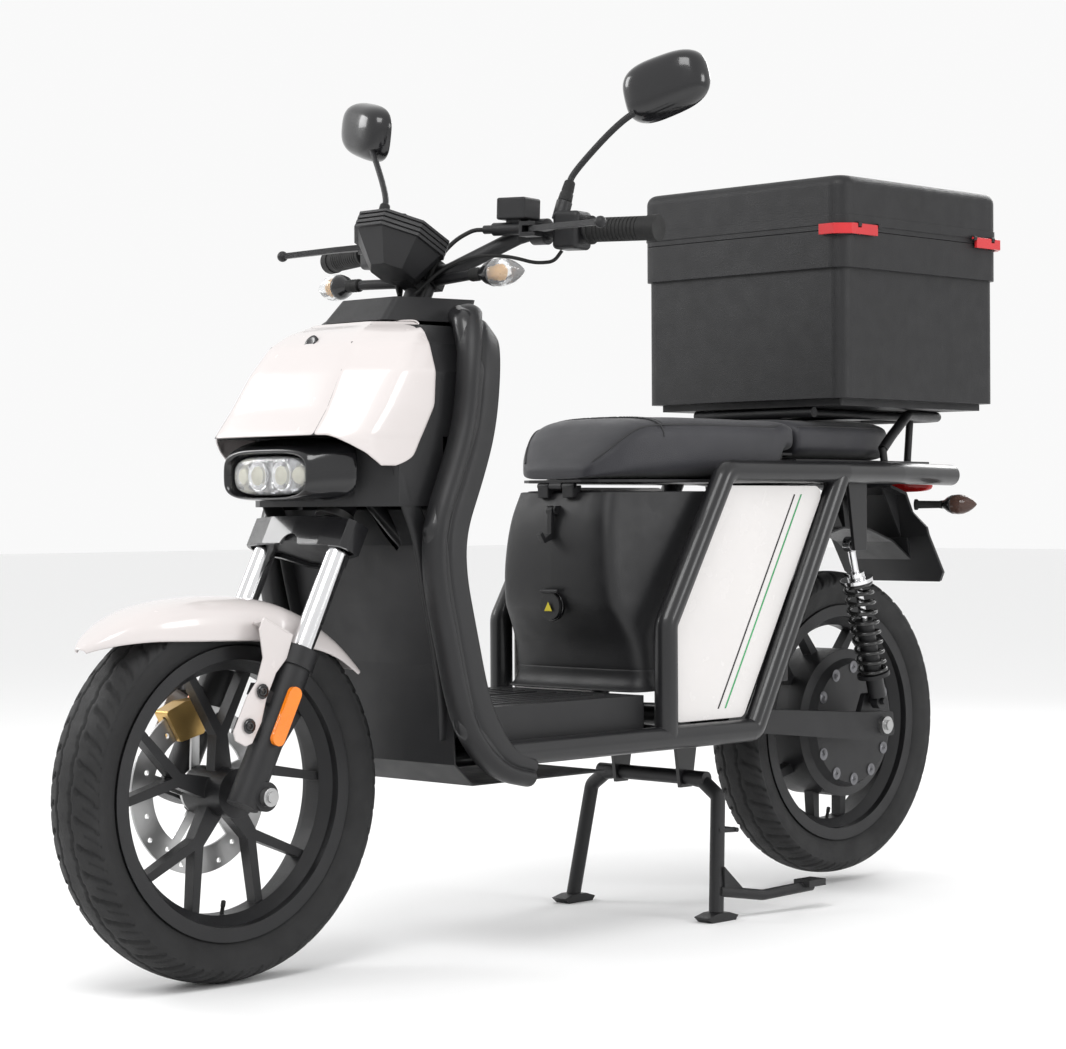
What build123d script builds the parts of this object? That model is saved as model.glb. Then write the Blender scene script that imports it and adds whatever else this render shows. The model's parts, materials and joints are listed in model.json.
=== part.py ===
"""Electric delivery moped scooter: step-through frame, telescopic fork, hub motor, seat and top box.

Units are millimetres.  +X points forward, +Y to the rider's left and +Z up.  The origin lies on the
ground, under the middle of the overall box.  The scooter stands on its centre stand and front wheel,
steered straight ahead, with the rear wheel just off the ground.
"""
import os
from math import asin, atan2, cos, degrees, hypot, radians, sin, sqrt, tan

from build123d import *

os.makedirs("parts", exist_ok=True)

# ---------------------------------------------------------------- driving dimensions
HALF_LENGTH = 856.0            # working origin to the front of the front tyre, and to the box latches
WHEELBASE = 1257.0
TYRE_R = 245.0                 # 14 inch scooter tyre
TYRE_HALF = 45.0
BEAD_R = 177.5
FLANGE_R = 190.0
RIM_HALF = 36.0
REAR_LIFT = 15.0               # the stand holds the rear tyre this far off the ground

RUNNING = 0.05                 # radial clearance of a shaft or slider in its bore
SNUG = 0.1                     # gap between fixed pieces that are assembled face to face
GAP = 1.0                      # gap between neighbouring covers
CLEAR = 3.0                    # gap between covers and pieces that move past them

RAKE = 27.0                    # steering axis, degrees back from vertical
FORK_LENGTH = 365.0            # axle to the middle of the fork bridge, along the steering axis
LEG_AHEAD = 32.0               # fork legs ahead of the steering axis
AXLE_BEHIND_LEG = 15.0
FORK_HALF = 74.0               # half the spacing of the fork legs
STANCHION_R = 15.0
LEG_R = 21.0
FORK_TRAVEL = 50.0

RAIL_R = 17.0                  # outer frame tubes
RAIL_Y = 167.0
TUBE_R = 11.0                  # inner frame tubes
TUBE_Y = 85.0
COVER_Y = 148.0                # half width of the covers between the rails
SKIN = 3.0                     # moulded cover thickness

PIVOT_X, PIVOT_Z = -265.0, 290.0      # swingarm pivot
ARM_Y = 108.0
ARM_HALF_THICK = 10.0
SHOCK_Y = 126.0
SHOCK_TOP = (-552.0, 550.0)
SHOCK_FOOT = (-622.0, 300.0)

STAND_X, STAND_Z = -225.0, 205.0      # centre stand pivot
STAND_FOOT_X, STAND_FOOT_Y = -202.0, 145.0

BOX_LENGTH, BOX_WIDTH = 416.0, 414.0
BOX_FLOOR_Z, BOX_STEP_Z, BOX_SEAM_Z, BOX_TOP_Z = 775.0, 974.0, 1031.0, 1115.0
BOX_WALL = 4.0
BOX_PAN = 11.0
BOX_CORNER = 28.0
LATCH_PROUD = 8.0

SEAT_HINGE = (-19.0, 641.0)
SEAT_TOP_Z = 742.0
SEAT_REAR_X = -424.0
SEAT_HALF = 136.0
SEAT_PIN_R = 3.0

FRONT_X = HALF_LENGTH - TYRE_R
REAR_X = FRONT_X - WHEELBASE
REAR_Z = TYRE_R + REAR_LIFT
BOX_REAR_X = -HALF_LENGTH + LATCH_PROUD
BOX_FRONT_X = BOX_REAR_X + BOX_LENGTH
BOX_HALF = BOX_WIDTH / 2

AXIS_DX, AXIS_DZ = -sin(radians(RAKE)), cos(radians(RAKE))
AXLE_AHEAD = LEG_AHEAD - AXLE_BEHIND_LEG
STEER_X = FRONT_X - AXLE_AHEAD * AXIS_DZ + FORK_LENGTH * AXIS_DX
STEER_Z = TYRE_R + AXLE_AHEAD * AXIS_DX + FORK_LENGTH * AXIS_DZ
STEER = Pos(STEER_X, 0, STEER_Z) * Rot(0, -RAKE, 0)      # local Z is the steering axis


# ---------------------------------------------------------------- helpers
def group(*shapes):
    """One node made of the separate solids of several shapes."""
    solids = [solid for shape in shapes for solid in shape.solids()]
    return solids[0] if len(solids) == 1 else Compound(solids)


def flip(shape):
    """The same piece on the other side of the scooter."""
    return mirror(shape, about=Plane.XZ)


def both(shape):
    return group(shape, flip(shape))


def join(first, *others):
    """One solid from pieces that run into each other."""
    result = first
    for other in others:
        result = result + other
    return result


def block(x0, x1, y0, y1, z0, z1):
    return Pos((x0 + x1) / 2, (y0 + y1) / 2, (z0 + z1) / 2) * Box(x1 - x0, y1 - y0, z1 - z0)


def rod(start, end, radius):
    """A round bar between two points."""
    start, end = Vector(*start), Vector(*end)
    axis = end - start
    return Plane(origin=start, z_dir=axis) * Cylinder(radius, axis.length, align=FOOT)


def pipe(points, radius, bend):
    """A round bar along straight runs joined by arcs."""
    path = FilletPolyline(*points, radius=bend)
    return sweep(Plane(origin=path @ 0, z_dir=path % 0) * Circle(radius), path=path)


def outline(points, corner=0.0):
    """A closed face in the XY plane, with its corners rounded."""
    face = make_face(Polyline(*points, close=True))
    return fillet(face.vertices(), corner) if corner else face


def side_plate(points, y0, y1, corner=0.0):
    """A side-view outline (X, Z) given a thickness across the scooter."""
    face = Plane.XZ * outline(points, corner)
    return Pos(0, y1, 0) * extrude(face, y1 - y0)


def spin(points):
    """A solid turned about the Y axis from (radius, y) points."""
    return revolve(outline(points), axis=Axis.Y)


def interpolate(table, value):
    """Straight-line value from a table of (position, value) rows in rising order."""
    for (low, a), (high, b) in zip(table, table[1:]):
        if low <= value <= high:
            return a + (b - a) * (value - low) / (high - low)
    raise ValueError(value)


def stack(sections):
    """A solid through flat outlines given as (height, points)."""
    faces = [Pos(0, 0, height) * outline(points) for height, points in sections]
    return loft(faces, ruled=True)


FOOT = (Align.CENTER, Align.CENTER, Align.MIN)


# ---------------------------------------------------------------- wheels
HUB_R = 32.0
HUB_HALF = 38.0
AXLE_R = 7.0
SPOKES = 5
SPOKE_HALF = 9.0
SPOKE_FORK_R = 72.0            # where each spoke splits in two
SPOKE_SPREAD = 17.0            # degrees each way at the rim
DISC_R = 110.0
DISC_THICK = 4.0
DISC_INNER_FACE = 41.0
MOTOR_R = 119.0
MOTOR_HALF = 46.0
MOTOR_COVER_R = 104.0
MOTOR_COVER_HALF = 58.0
REAR_AXLE_R = 8.0


def tyre():
    wall = 8.0
    shoulder_r = TYRE_R - 20
    outer = [(BEAD_R, 31), (FLANGE_R + 3, 32), (FLANGE_R + 20, TYRE_HALF - 2), (shoulder_r, TYRE_HALF)]
    inner = [(BEAD_R, 23), (FLANGE_R + 3, 24), (FLANGE_R + 22, TYRE_HALF - wall - 2),
             (shoulder_r - 2, TYRE_HALF - wall)]
    crown = ThreePointArc((shoulder_r, TYRE_HALF), (TYRE_R, 0), (shoulder_r, -TYRE_HALF))
    lining = ThreePointArc((shoulder_r - 2, -TYRE_HALF + wall), (TYRE_R - wall - 1, 0),
                           (shoulder_r - 2, TYRE_HALF - wall))
    far_out = [(r, -y) for r, y in reversed(outer)]
    far_in = [(r, -y) for r, y in inner]
    near_in = list(reversed(inner))
    edges = [Polyline(*outer), crown, Polyline(*far_out), Line(far_out[-1], far_in[0]),
             Polyline(*far_in), lining, Polyline(*near_in), Line(near_in[-1], outer[0])]
    return revolve(make_face(edges), axis=Axis.Y)


def rim_barrel():
    half = [(FLANGE_R, RIM_HALF), (FLANGE_R, RIM_HALF - 3), (BEAD_R - SNUG, RIM_HALF - 3.5),
            (BEAD_R - SNUG, 20), (BEAD_R - 14, 13)]
    inside = [(BEAD_R - 20, 13), (BEAD_R - 7, 26), (BEAD_R - 6, RIM_HALF)]
    points = half + [(r, -y) for r, y in reversed(half)]
    points += [(r, -y) for r, y in reversed(inside)] + inside
    return spin(points)


def spoke_bar(start, end, start_half, end_half, half_thick):
    """A tapered flat bar in the wheel's plane between two (X, Z) points."""
    dx, dz = end[0] - start[0], end[1] - start[1]
    length = hypot(dx, dz)
    nx, nz = -dz / length, dx / length
    points = [(start[0] + nx * start_half, start[1] + nz * start_half),
              (end[0] + nx * end_half, end[1] + nz * end_half),
              (end[0] - nx * end_half, end[1] - nz * end_half),
              (start[0] - nx * start_half, start[1] - nz * start_half)]
    return side_plate(points, -half_thick, half_thick)


def polar(radius, angle):
    return radius * cos(radians(angle)), radius * sin(radians(angle))


def split_spokes(root_r, fork_r, root_half, phase):
    bars = []
    for index in range(SPOKES):
        angle = phase + index * 360 / SPOKES
        fork = polar(fork_r, angle)
        bars.append(spoke_bar(polar(root_r, angle), polar(fork_r + 4, angle), root_half, 9, SPOKE_HALF))
        for side in (-1, 1):
            tip = polar(BEAD_R - 16, angle + side * SPOKE_SPREAD)
            bars.append(spoke_bar(fork, tip, 7, 5.5, SPOKE_HALF))
    return bars


def front_rim():
    hub = spin([(AXLE_R + RUNNING, -HUB_HALF), (HUB_R, -HUB_HALF), (HUB_R, HUB_HALF),
                (AXLE_R + RUNNING, HUB_HALF)])
    return join(rim_barrel(), hub, *split_spokes(HUB_R - 4, SPOKE_FORK_R, 14, 16))


def rear_rim():
    shell = spin([(REAR_AXLE_R + RUNNING, -MOTOR_COVER_HALF), (MOTOR_COVER_R - 8, -MOTOR_COVER_HALF),
                  (MOTOR_COVER_R, -MOTOR_HALF), (MOTOR_R, -MOTOR_HALF + 4), (MOTOR_R, MOTOR_HALF - 4),
                  (MOTOR_COVER_R, MOTOR_HALF), (MOTOR_COVER_R - 8, MOTOR_COVER_HALF),
                  (REAR_AXLE_R + RUNNING, MOTOR_COVER_HALF)])
    bars = []
    for index in range(2 * SPOKES):
        angle = index * 180 / SPOKES
        lean = 6 if index % 2 else -6
        bars.append(spoke_bar(polar(MOTOR_R - 3, angle), polar(BEAD_R - 16, angle + lean), 8, 6, SPOKE_HALF))
    return join(rim_barrel(), shell, *bars)


def brake_disc():
    y0, y1 = -DISC_INNER_FACE - DISC_THICK, -DISC_INNER_FACE
    carrier_r = HUB_R - 2
    ring = spin([(DISC_R - 34, y0), (DISC_R, y0), (DISC_R, y1), (DISC_R - 34, y1)])
    hub = spin([(AXLE_R + 5, y0), (carrier_r, y0), (carrier_r, -HUB_HALF - SNUG), (AXLE_R + 5, -HUB_HALF - SNUG)])
    arms = []
    for index in range(SPOKES):
        angle = index * 360 / SPOKES
        arm = spoke_bar(polar(carrier_r - 6, angle), polar(DISC_R - 30, angle + 14), 7, 6, DISC_THICK / 2)
        arms.append(Pos(0, (y0 + y1) / 2, 0) * arm)
    disc = join(ring, hub, *arms)
    for index in range(20):
        x, z = polar(DISC_R - 10 - 10 * (index % 2), index * 18)
        disc -= Pos(x, (y0 + y1) / 2, z) * Rot(90, 0, 0) * Cylinder(3.5, 3 * DISC_THICK)
    return disc


# ---------------------------------------------------------------- front fork (steering frame)
BRIDGE_LOW, BRIDGE_HIGH = -27.0, 13.0
BRIDGE_WALL = 4.0
STEM_R = 14.0
CLAMP_LOCAL_Z = 418.0          # handlebar clamp, above the fork bridge along the steering axis
BAR_R = 11.0
STEM_TOP = CLAMP_LOCAL_Z - BAR_R - GAP
HEAD_LOW, HEAD_HIGH = 36.0, 332.0
HEAD_R = 24.0
BEARING_HEIGHT = 10.0
LEG_TOP = -168.0
LEG_FOOT = -386.0
SEAL_R = 24.0
BRIDGE_OUTLINE = [(58, 0), (56, 56), (50, 94), (42, 100), (18, 100), (8, 66), (-20, 36), (-24, 0)]


def mirrored(points):
    """A closed outline from the half with Y from 0 upward, first and last points on the centre line."""
    return points + [(x, -y) for x, y in reversed(points[1:-1])]


def bridge_core(margin, low, high):
    half = [(x - margin if x > 20 else x + margin, max(y - margin, 0)) for x, y in BRIDGE_OUTLINE]
    return Pos(0, 0, low) * extrude(outline(mirrored(half)), high - low)


def steering_stem():
    margin = BRIDGE_WALL + GAP
    clamp = bridge_core(margin, BRIDGE_LOW + 6, BRIDGE_HIGH - margin)
    for side in (-1, 1):
        clamp -= Pos(LEG_AHEAD, side * FORK_HALF, 0) * Cylinder(STANCHION_R + SNUG, 200)
    stem = rod((0, 0, BRIDGE_LOW + 6), (0, 0, STEM_TOP), STEM_R)
    return STEER * join(clamp, stem)


def bridge_cover():
    hollow = bridge_core(BRIDGE_WALL, BRIDGE_LOW - 1, BRIDGE_HIGH - BRIDGE_WALL)
    cover = bridge_core(0, BRIDGE_LOW, BRIDGE_HIGH) - hollow
    cover -= Cylinder(STEM_R + GAP, 200)
    cover -= Pos(30, 0, BRIDGE_LOW - 4) * Rot(0, 90, 0) * Cylinder(18, 100)
    return STEER * cover


def fork_tubes():
    top = BRIDGE_HIGH - BRIDGE_WALL - GAP
    tubes = [rod((LEG_AHEAD, side * FORK_HALF, -300), (LEG_AHEAD, side * FORK_HALF, top), STANCHION_R)
             for side in (-1, 1)]
    return STEER * group(*tubes)


BRACKET_X = 74.0               # mudguard bolts, ahead of the steering axis
BRACKET_Z = (-245.0, -293.0)
BRACKET_Y = 78.0


def fork_leg():
    """The left lower leg, without the caliper lug."""
    y = FORK_HALF
    leg = rod((LEG_AHEAD, y, LEG_FOOT), (LEG_AHEAD, y, LEG_TOP), LEG_R)
    seal = rod((LEG_AHEAD, y, LEG_TOP - 26), (LEG_AHEAD, y, LEG_TOP), SEAL_R)
    boss = rod((AXLE_AHEAD, y - LEG_R, -FORK_LENGTH), (AXLE_AHEAD, y + LEG_R, -FORK_LENGTH), 19)
    leg = join(leg, seal, boss)
    for z in BRACKET_Z:
        leg += block(LEG_AHEAD, BRACKET_X + 8, y - 10, BRACKET_Y - SNUG, z - 8, z + 8)
    leg -= rod((LEG_AHEAD, y, LEG_FOOT + 8), (LEG_AHEAD, y, LEG_TOP + 1), STANCHION_R + RUNNING)
    leg -= rod((AXLE_AHEAD, y - 60, -FORK_LENGTH), (AXLE_AHEAD, y + 60, -FORK_LENGTH), AXLE_R + SNUG)
    return leg


def fork_legs():
    return STEER * both(fork_leg())


def front_axle():
    reach = FORK_HALF + LEG_R
    shaft = rod((0, -reach - 12, 0), (0, reach + 12, 0), AXLE_R)
    heads = [rod((0, side * (reach + SNUG), 0), (0, side * (reach + 9), 0), 12) for side in (-1, 1)]
    spacers = []
    for side in (-1, 1):
        near, far = side * (HUB_HALF + 0.4), side * (FORK_HALF - LEG_R - SNUG)
        spacers.append(rod((0, near, 0), (0, far, 0), AXLE_R + 4))
    return Pos(FRONT_X, 0, TYRE_R) * join(shaft, *heads, *spacers)


def front_caliper():
    """Floating caliper over the front edge of the disc, in front of the right leg."""
    y_disc = -DISC_INNER_FACE - DISC_THICK / 2
    pad_half = DISC_THICK / 2 + 1
    body_half = 16.0
    arc = [polar(74, 60), polar(74, 92), polar(120, 92), polar(120, 76), polar(120, 60)]
    body = side_plate(arc, y_disc - body_half, y_disc + 10, 4)
    inner_arc = [polar(60, 40), polar(60, 110)] + [polar(DISC_R + 3, angle) for angle in (110, 93, 76, 58, 40)]
    slot = side_plate(inner_arc, y_disc - pad_half, y_disc + pad_half)
    piston = Pos(*polar3(96, 76, y_disc - body_half)) * Rot(90, 0, 0) * Cylinder(15, 10)
    return Pos(FRONT_X, 0, TYRE_R) * join(body - slot, piston)


def polar3(radius, angle, y):
    x, z = polar(radius, angle)
    return x, y, z


MUDGUARD_HALF = 56.0
MUDGUARD_GAP = 6.0
MUDGUARD_SKIN = 3.0


def front_mudguard():
    inner_r = TYRE_R + MUDGUARD_GAP
    outer_r = inner_r + MUDGUARD_SKIN
    rim_z = 196.0
    top = [(217, rim_z), (184, 222), (135, 243), (80, 252), (20, outer_r), (-46, outer_r - 5)]
    top += [polar(outer_r, angle) for angle in (115, 130, 143)]
    under = [polar(inner_r - 16, 143), polar(inner_r - 16, 128), (-150, rim_z)]
    shape = side_plate(top + under, -MUDGUARD_HALF, MUDGUARD_HALF)
    plan = [(230, 0), (214, 22), (170, 44), (110, MUDGUARD_HALF), (-180, MUDGUARD_HALF), (-230, 44), (-240, 0)]
    shape = shape & extrude(outline(mirrored(plan)), 300)
    cavity_half = MUDGUARD_HALF - MUDGUARD_SKIN
    cavity = Rot(90, 0, 0) * Cylinder(inner_r, 2 * cavity_half)
    front_cavity = [(0, 100), (207, rim_z - 5), (205, rim_z + 1), (176, 216), (132, 238), (80, 248), (0, inner_r)]
    front_plan = [(216, 0), (205, 18), (166, 40), (108, cavity_half), (-1, cavity_half), (-1, 0)]
    cavity += side_plate(front_cavity, -cavity_half, cavity_half) & extrude(outline(mirrored(front_plan)), 300)
    shape -= cavity
    guard = Pos(FRONT_X, 0, TYRE_R) * shape
    plate = outline([(56, -312), (92, -312), (94, -200), (112, -168), (60, -168), (56, -240)], 5)
    plate = Pos(0, BRACKET_Y + MUDGUARD_SKIN, 0) * extrude(Plane.XZ * plate, MUDGUARD_SKIN)
    for z in BRACKET_Z:
        plate -= Pos(BRACKET_X, BRACKET_Y, z) * Rot(90, 0, 0) * Cylinder(3.2, 20)
    flange = block(60, 110, cavity_half + 0.5, BRACKET_Y + 1, -176, -168)
    stay = STEER * join(plate, flange)
    return join(guard, stay, flip(stay))


def side_reflectors():
    y0 = FORK_HALF + LEG_R + SNUG
    strip = fillet(block(26, 46, y0, y0 + 6, -302, -222).edges().filter_by(Axis.Y), 9)
    return STEER * both(strip)


# ---------------------------------------------------------------- frame
HEAD_TOP_Z = STEER_Z + HEAD_HIGH * AXIS_DZ
SHIELD_PROFILE = [(345, 304), (400, 312), (480, 330), (560, 345), (612, 341), (660, 322), (704, 301),
                  (740, 285), (800, 262), (862, 242)]
RAIL_LOW_Z = 279.0
RAIL_HIGH_Z = 662.0
STAND_LUG_Y = 62.0
STAND_TUBE_R = 11.0
SWING_SHAFT_R = 8.0
PIVOT_REACH = ARM_Y + ARM_HALF_THICK + 6
NECK_TUBE = (303.0, 802.0)         # tube that ties both rails to the head tube


def shield_x(z):
    return interpolate(SHIELD_PROFILE, z)


def rail():
    """The left outer tube: neck, leg shield edge, floor, up beside the side panel and back to the tail."""
    points = [(268, 96, 868), (300, 138, 858), (314, RAIL_Y, 790), (322, RAIL_Y, 720), (384, RAIL_Y, 580),
              (372, RAIL_Y, 500), (330, RAIL_Y, 320), (272, RAIL_Y, RAIL_LOW_Z),
              (-262, RAIL_Y, RAIL_LOW_Z), (-470, RAIL_Y, 655)]
    return pipe(points, RAIL_R, 16)


def upper_rail():
    points = [(-69, RAIL_Y, RAIL_LOW_Z), (-69, RAIL_Y, 442), (-202, RAIL_Y, RAIL_HIGH_Z), (-480, RAIL_Y, RAIL_HIGH_Z),
              (-640, 150, 662), (-826, 122, 660)]
    return pipe(points, RAIL_R, 24)


def down_tube():
    offset = SKIN + GAP + TUBE_R
    points = [(385, 12, 648), (345 + offset, TUBE_Y, 560), (330 + offset, TUBE_Y, 480),
              (312 + offset, TUBE_Y, 400), (306 + offset, TUBE_Y, 320), (284, TUBE_Y, 268),
              (-240, TUBE_Y, 268)]
    return pipe(points, TUBE_R, 18)


def main_frame():
    head = STEER * rod((0, 0, HEAD_LOW + BEARING_HEIGHT), (0, 0, HEAD_HIGH - BEARING_HEIGHT), HEAD_R)
    bore = STEER * rod((0, 0, 0), (0, 0, HEAD_HIGH + 60), STEM_R + 4)
    side = join(rail(), upper_rail(), down_tube())
    side += rod((-69, 0, 268), (-69, RAIL_Y, 275), TUBE_R)
    side += rod((230, 0, 268), (230, RAIL_Y, 275), TUBE_R)
    side += rod((-225, 0, 268), (-225, RAIL_Y, 275), TUBE_R)
    side += rod((NECK_TUBE[0], 0, NECK_TUBE[1]), (NECK_TUBE[0], RAIL_Y, NECK_TUBE[1]), TUBE_R - 3)
    side += rod((-470, 0, 642), (-470, RAIL_Y, 658), TUBE_R - 2)
    side += rod((-700, 0, 642), (-700, 141, 658), TUBE_R - 2)
    side += side_plate([(-290, 270), (-262, 258), (-216, 258), (-216, 272), (-240, 300), (-252, 308), (-278, 308), (-290, 300)],
                       TUBE_Y - 11, TUBE_Y - 1)
    side += side_plate([(-252, 270), (-200, 270), (-212, 190), (-238, 190)], STAND_LUG_Y, STAND_LUG_Y + 6)
    side += rod((SPRING_ANCHOR[0], TUBE_Y - 5, SPRING_ANCHOR[1]), (SPRING_ANCHOR[0], 128, SPRING_ANCHOR[1]), 4)
    lug_x, lug_z = SHOCK_TOP
    side += side_plate([(lug_x - 15, 664), (lug_x - 15, lug_z - 10), (lug_x + 15, lug_z - 10), (lug_x + 34, 664)],
                       SHOCK_Y + 15, SHOCK_Y + 21, 5)
    side += rod((lug_x, SHOCK_Y - 13, lug_z), (lug_x, SHOCK_Y + 18, lug_z), 5)
    frame = join(side, flip(side), head) - bore
    frame += rod((PIVOT_X, -PIVOT_REACH, PIVOT_Z), (PIVOT_X, PIVOT_REACH, PIVOT_Z), SWING_SHAFT_R)
    frame -= rod((STAND_X, -100, STAND_Z), (STAND_X, 100, STAND_Z), 6 + RUNNING)
    return frame


def head_bearings():
    rings = []
    for low in (HEAD_LOW, HEAD_HIGH - BEARING_HEIGHT + SNUG):
        ring = rod((0, 0, low), (0, 0, low + BEARING_HEIGHT - SNUG), HEAD_R + 2)
        rings.append(ring - rod((0, 0, low - 1), (0, 0, low + BEARING_HEIGHT + 1), STEM_R + RUNNING))
    return STEER * group(*rings)


# ---------------------------------------------------------------- covers
NECK_Z = 895.0
COWL_SPLIT_Z = 704.0
COWL_LOW_Z = 612.0
COWL_SECTIONS = [(704, 536, 100, 146), (740, 509, 98, 146), (790, 479, 92, 144), (828, 452, 82, 128),
                 (854, 404, 66, 106)]
PANEL_SKIN = 3.0
LENS_X = 533.0
FLOOR_TOP_Z = 342.0


def neck_outline(x0, x1, half, corner):
    return outline([(x0, -half), (x1, -half * 0.72), (x1, half * 0.72), (x0, half)], corner)


def leg_shield():
    """Rider-side shield between the rails, with the neck collar on top."""
    rear = [(x, z) for z, x in SHIELD_PROFILE]
    front = [(x + SKIN, z) for x, z in reversed(rear)]
    plate = side_plate(rear + front, -COVER_Y, COVER_Y)
    half_widths = [(0, COVER_Y), (790, COVER_Y - 4), (825, 132), (850, 104), (870, 76)]
    edge = [(half, z) for z, half in half_widths]
    trim = make_face(Plane.YZ * Polyline(*edge, *[(-y, z) for y, z in reversed(edge)], close=True))
    plate = plate & extrude(trim, 1000)
    low = Pos(0, 0, 862) * neck_outline(236, 378, 88, 10)
    high = Pos(0, 0, NECK_Z) * neck_outline(217, 348, 80, 10)
    collar = loft([low, high])
    collar -= STEER * rod((0, 0, HEAD_HIGH - 30), (0, 0, HEAD_HIGH + 100), HEAD_R + 5)
    return join(plate, collar)


def cowl_section(x_front, y_front, y_side, x_rear, grow):
    x_mid = x_front - 0.55 * (y_side - y_front) - 28
    half = [(x_front + grow, 0), (x_front + grow, y_front), (x_mid + grow / 2, y_side + grow), (x_rear, y_side + grow)]
    return half + [(x, -y) for x, y in reversed(half[1:])]


def cowl_solid(grow, rear_shift):
    sections = [(z + (grow if z > 850 else 0), cowl_section(xf, yf, ys, shield_x(z) + SKIN + GAP + rear_shift, grow))
                for z, xf, yf, ys in COWL_SECTIONS]
    return stack(sections)


def lower_cowl(grow, rear_shift, z0, z1):
    x_rear = 345 + SKIN + GAP + rear_shift
    half = [(462 + grow, 0), (462 + grow, 96), (428 + grow / 2, 146 + grow), (x_rear, 146 + grow)]
    points = half + [(x, -y) for x, y in reversed(half[1:])]
    return Pos(0, 0, z0) * extrude(outline(points), z1 - z0)


def front_cowl():
    shell = cowl_solid(0, 0) - cowl_solid(-SKIN, -40)
    lower = lower_cowl(0, 0, COWL_LOW_Z, COWL_SPLIT_Z) - lower_cowl(-SKIN, -90, COWL_LOW_Z - 1, COWL_SPLIT_Z + 1)
    rim = lower_cowl(0, 0, COWL_SPLIT_Z - SKIN, COWL_SPLIT_Z)
    ledge = cowl_solid(0, 0) & block(300, 600, -200, 200, COWL_SPLIT_Z, COWL_SPLIT_Z + SKIN)
    opening = block(200, 450, -130, 130, COWL_LOW_Z - 20, 848)
    shell = join(shell, lower, (rim + ledge) - opening)
    shell -= STEER * rod((0, 0, 0), (0, 0, HEAD_HIGH + 60), HEAD_R + 7)
    shell -= rod((NECK_TUBE[0], -200, NECK_TUBE[1]), (NECK_TUBE[0], 200, NECK_TUBE[1]), TUBE_R - 1)
    rail_room = rod((268, 96, 868), (300, 138, 858), RAIL_R + GAP)
    return shell - down_tube_room() - rail_room - flip(rail_room)


def down_tube_room():
    room = rod((385, 12, 648), (361, TUBE_Y, 560), TUBE_R + 3)
    return join(room, flip(room))


def front_panel():
    outer, inner = cowl_solid(GAP + PANEL_SKIN, 0), cowl_solid(GAP, -60)
    top = outer - inner
    lobe = lower_cowl(GAP + PANEL_SKIN, 0, 664, COWL_SPLIT_Z) - lower_cowl(GAP, -90, 600, COWL_SPLIT_Z + 1)
    keep = side_plate([(364, 900), (364, 745), (412, 664), (440, 664), (458, COWL_SPLIT_Z), (600, COWL_SPLIT_Z),
                       (600, 900)], -200, 200)
    lobe = lobe & keep - block(444, 600, -110, 110, 600, COWL_SPLIT_Z)
    panel = join(top & keep, lobe)
    return max(panel.solids(), key=lambda solid: solid.volume)


def rounded_rect(x, width, height, z, corner):
    return Plane(origin=(x, 0, z), x_dir=(0, 1, 0), z_dir=(1, 0, 0)) * RectangleRounded(width, height, corner)


def headlight_housing():
    body = loft([rounded_rect(464, 236, 50, 650, 14), rounded_rect(500, 204, 84, 658, 36),
                 rounded_rect(531, 168, 68, 656, 30)], ruled=True)
    body = body & block(463, 540, -130, 130, 618, 702)
    pocket = extrude(rounded_rect(505, 146, 54, 653, 20), 40)
    return body - pocket


def headlight_lens():
    return extrude(rounded_rect(505 + SNUG, 146 - 0.4, 54 - 0.4, 653, 20), LENS_X - 505)


def belly_cover():
    """Splash panel behind the front wheel and the pan under the floor, in one moulding."""
    rise = SKIN + 2 * GAP + 2 * TUBE_R + 2
    line = [(345 + rise, 608), (345 + rise, 560), (330 + rise, 480), (312 + rise, 400), (306 + rise, 320),
            (304 + rise, 268), (300, 238), (40, 238)]
    wall = 2.5
    inner = [(40, 238 + wall), (299, 238 + wall), (304 + rise - wall, 269), (306 + rise - wall, 320),
             (312 + rise - wall, 400), (330 + rise - wall, 480), (345 + rise - wall, 560), (345 + rise - wall, 608)]
    return side_plate(line + inner, -COVER_Y, COVER_Y) - down_tube_room()


def floorboard():
    board = block(-44, 298, -COVER_Y + 2, COVER_Y - 2, FLOOR_TOP_Z - 5, FLOOR_TOP_Z - 1)
    for side in (-1, 1):
        y = side * (COVER_Y - 3.5)
        board += block(-44, 298, y - 1.5, y + 1.5, 292, FLOOR_TOP_Z - 1)
        for index in range(5):
            rib_y = side * (20 + 24 * index)
            board += block(10, 280, rib_y - 5, rib_y + 5, FLOOR_TOP_Z - 1, FLOOR_TOP_Z + 1)
    return board


SEAT_BASE_SECTIONS = [(345, -54, 133), (409, -47, 128), (463, -14, 118), (520, -8, 113), (591, -14, 105),
                      (632, -28, 98)]


def seat_base_section(x_front, y_front, inset):
    half = [(x_front - inset + 4, 0), (x_front - inset, y_front - 22 - inset / 2), (x_front - 22 - inset, y_front - inset / 2),
            (-175, COVER_Y - 3 - inset), (-372 + inset, COVER_Y - 3 - inset)]
    return half + [(x, -y) for x, y in reversed(half[1:])]


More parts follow.
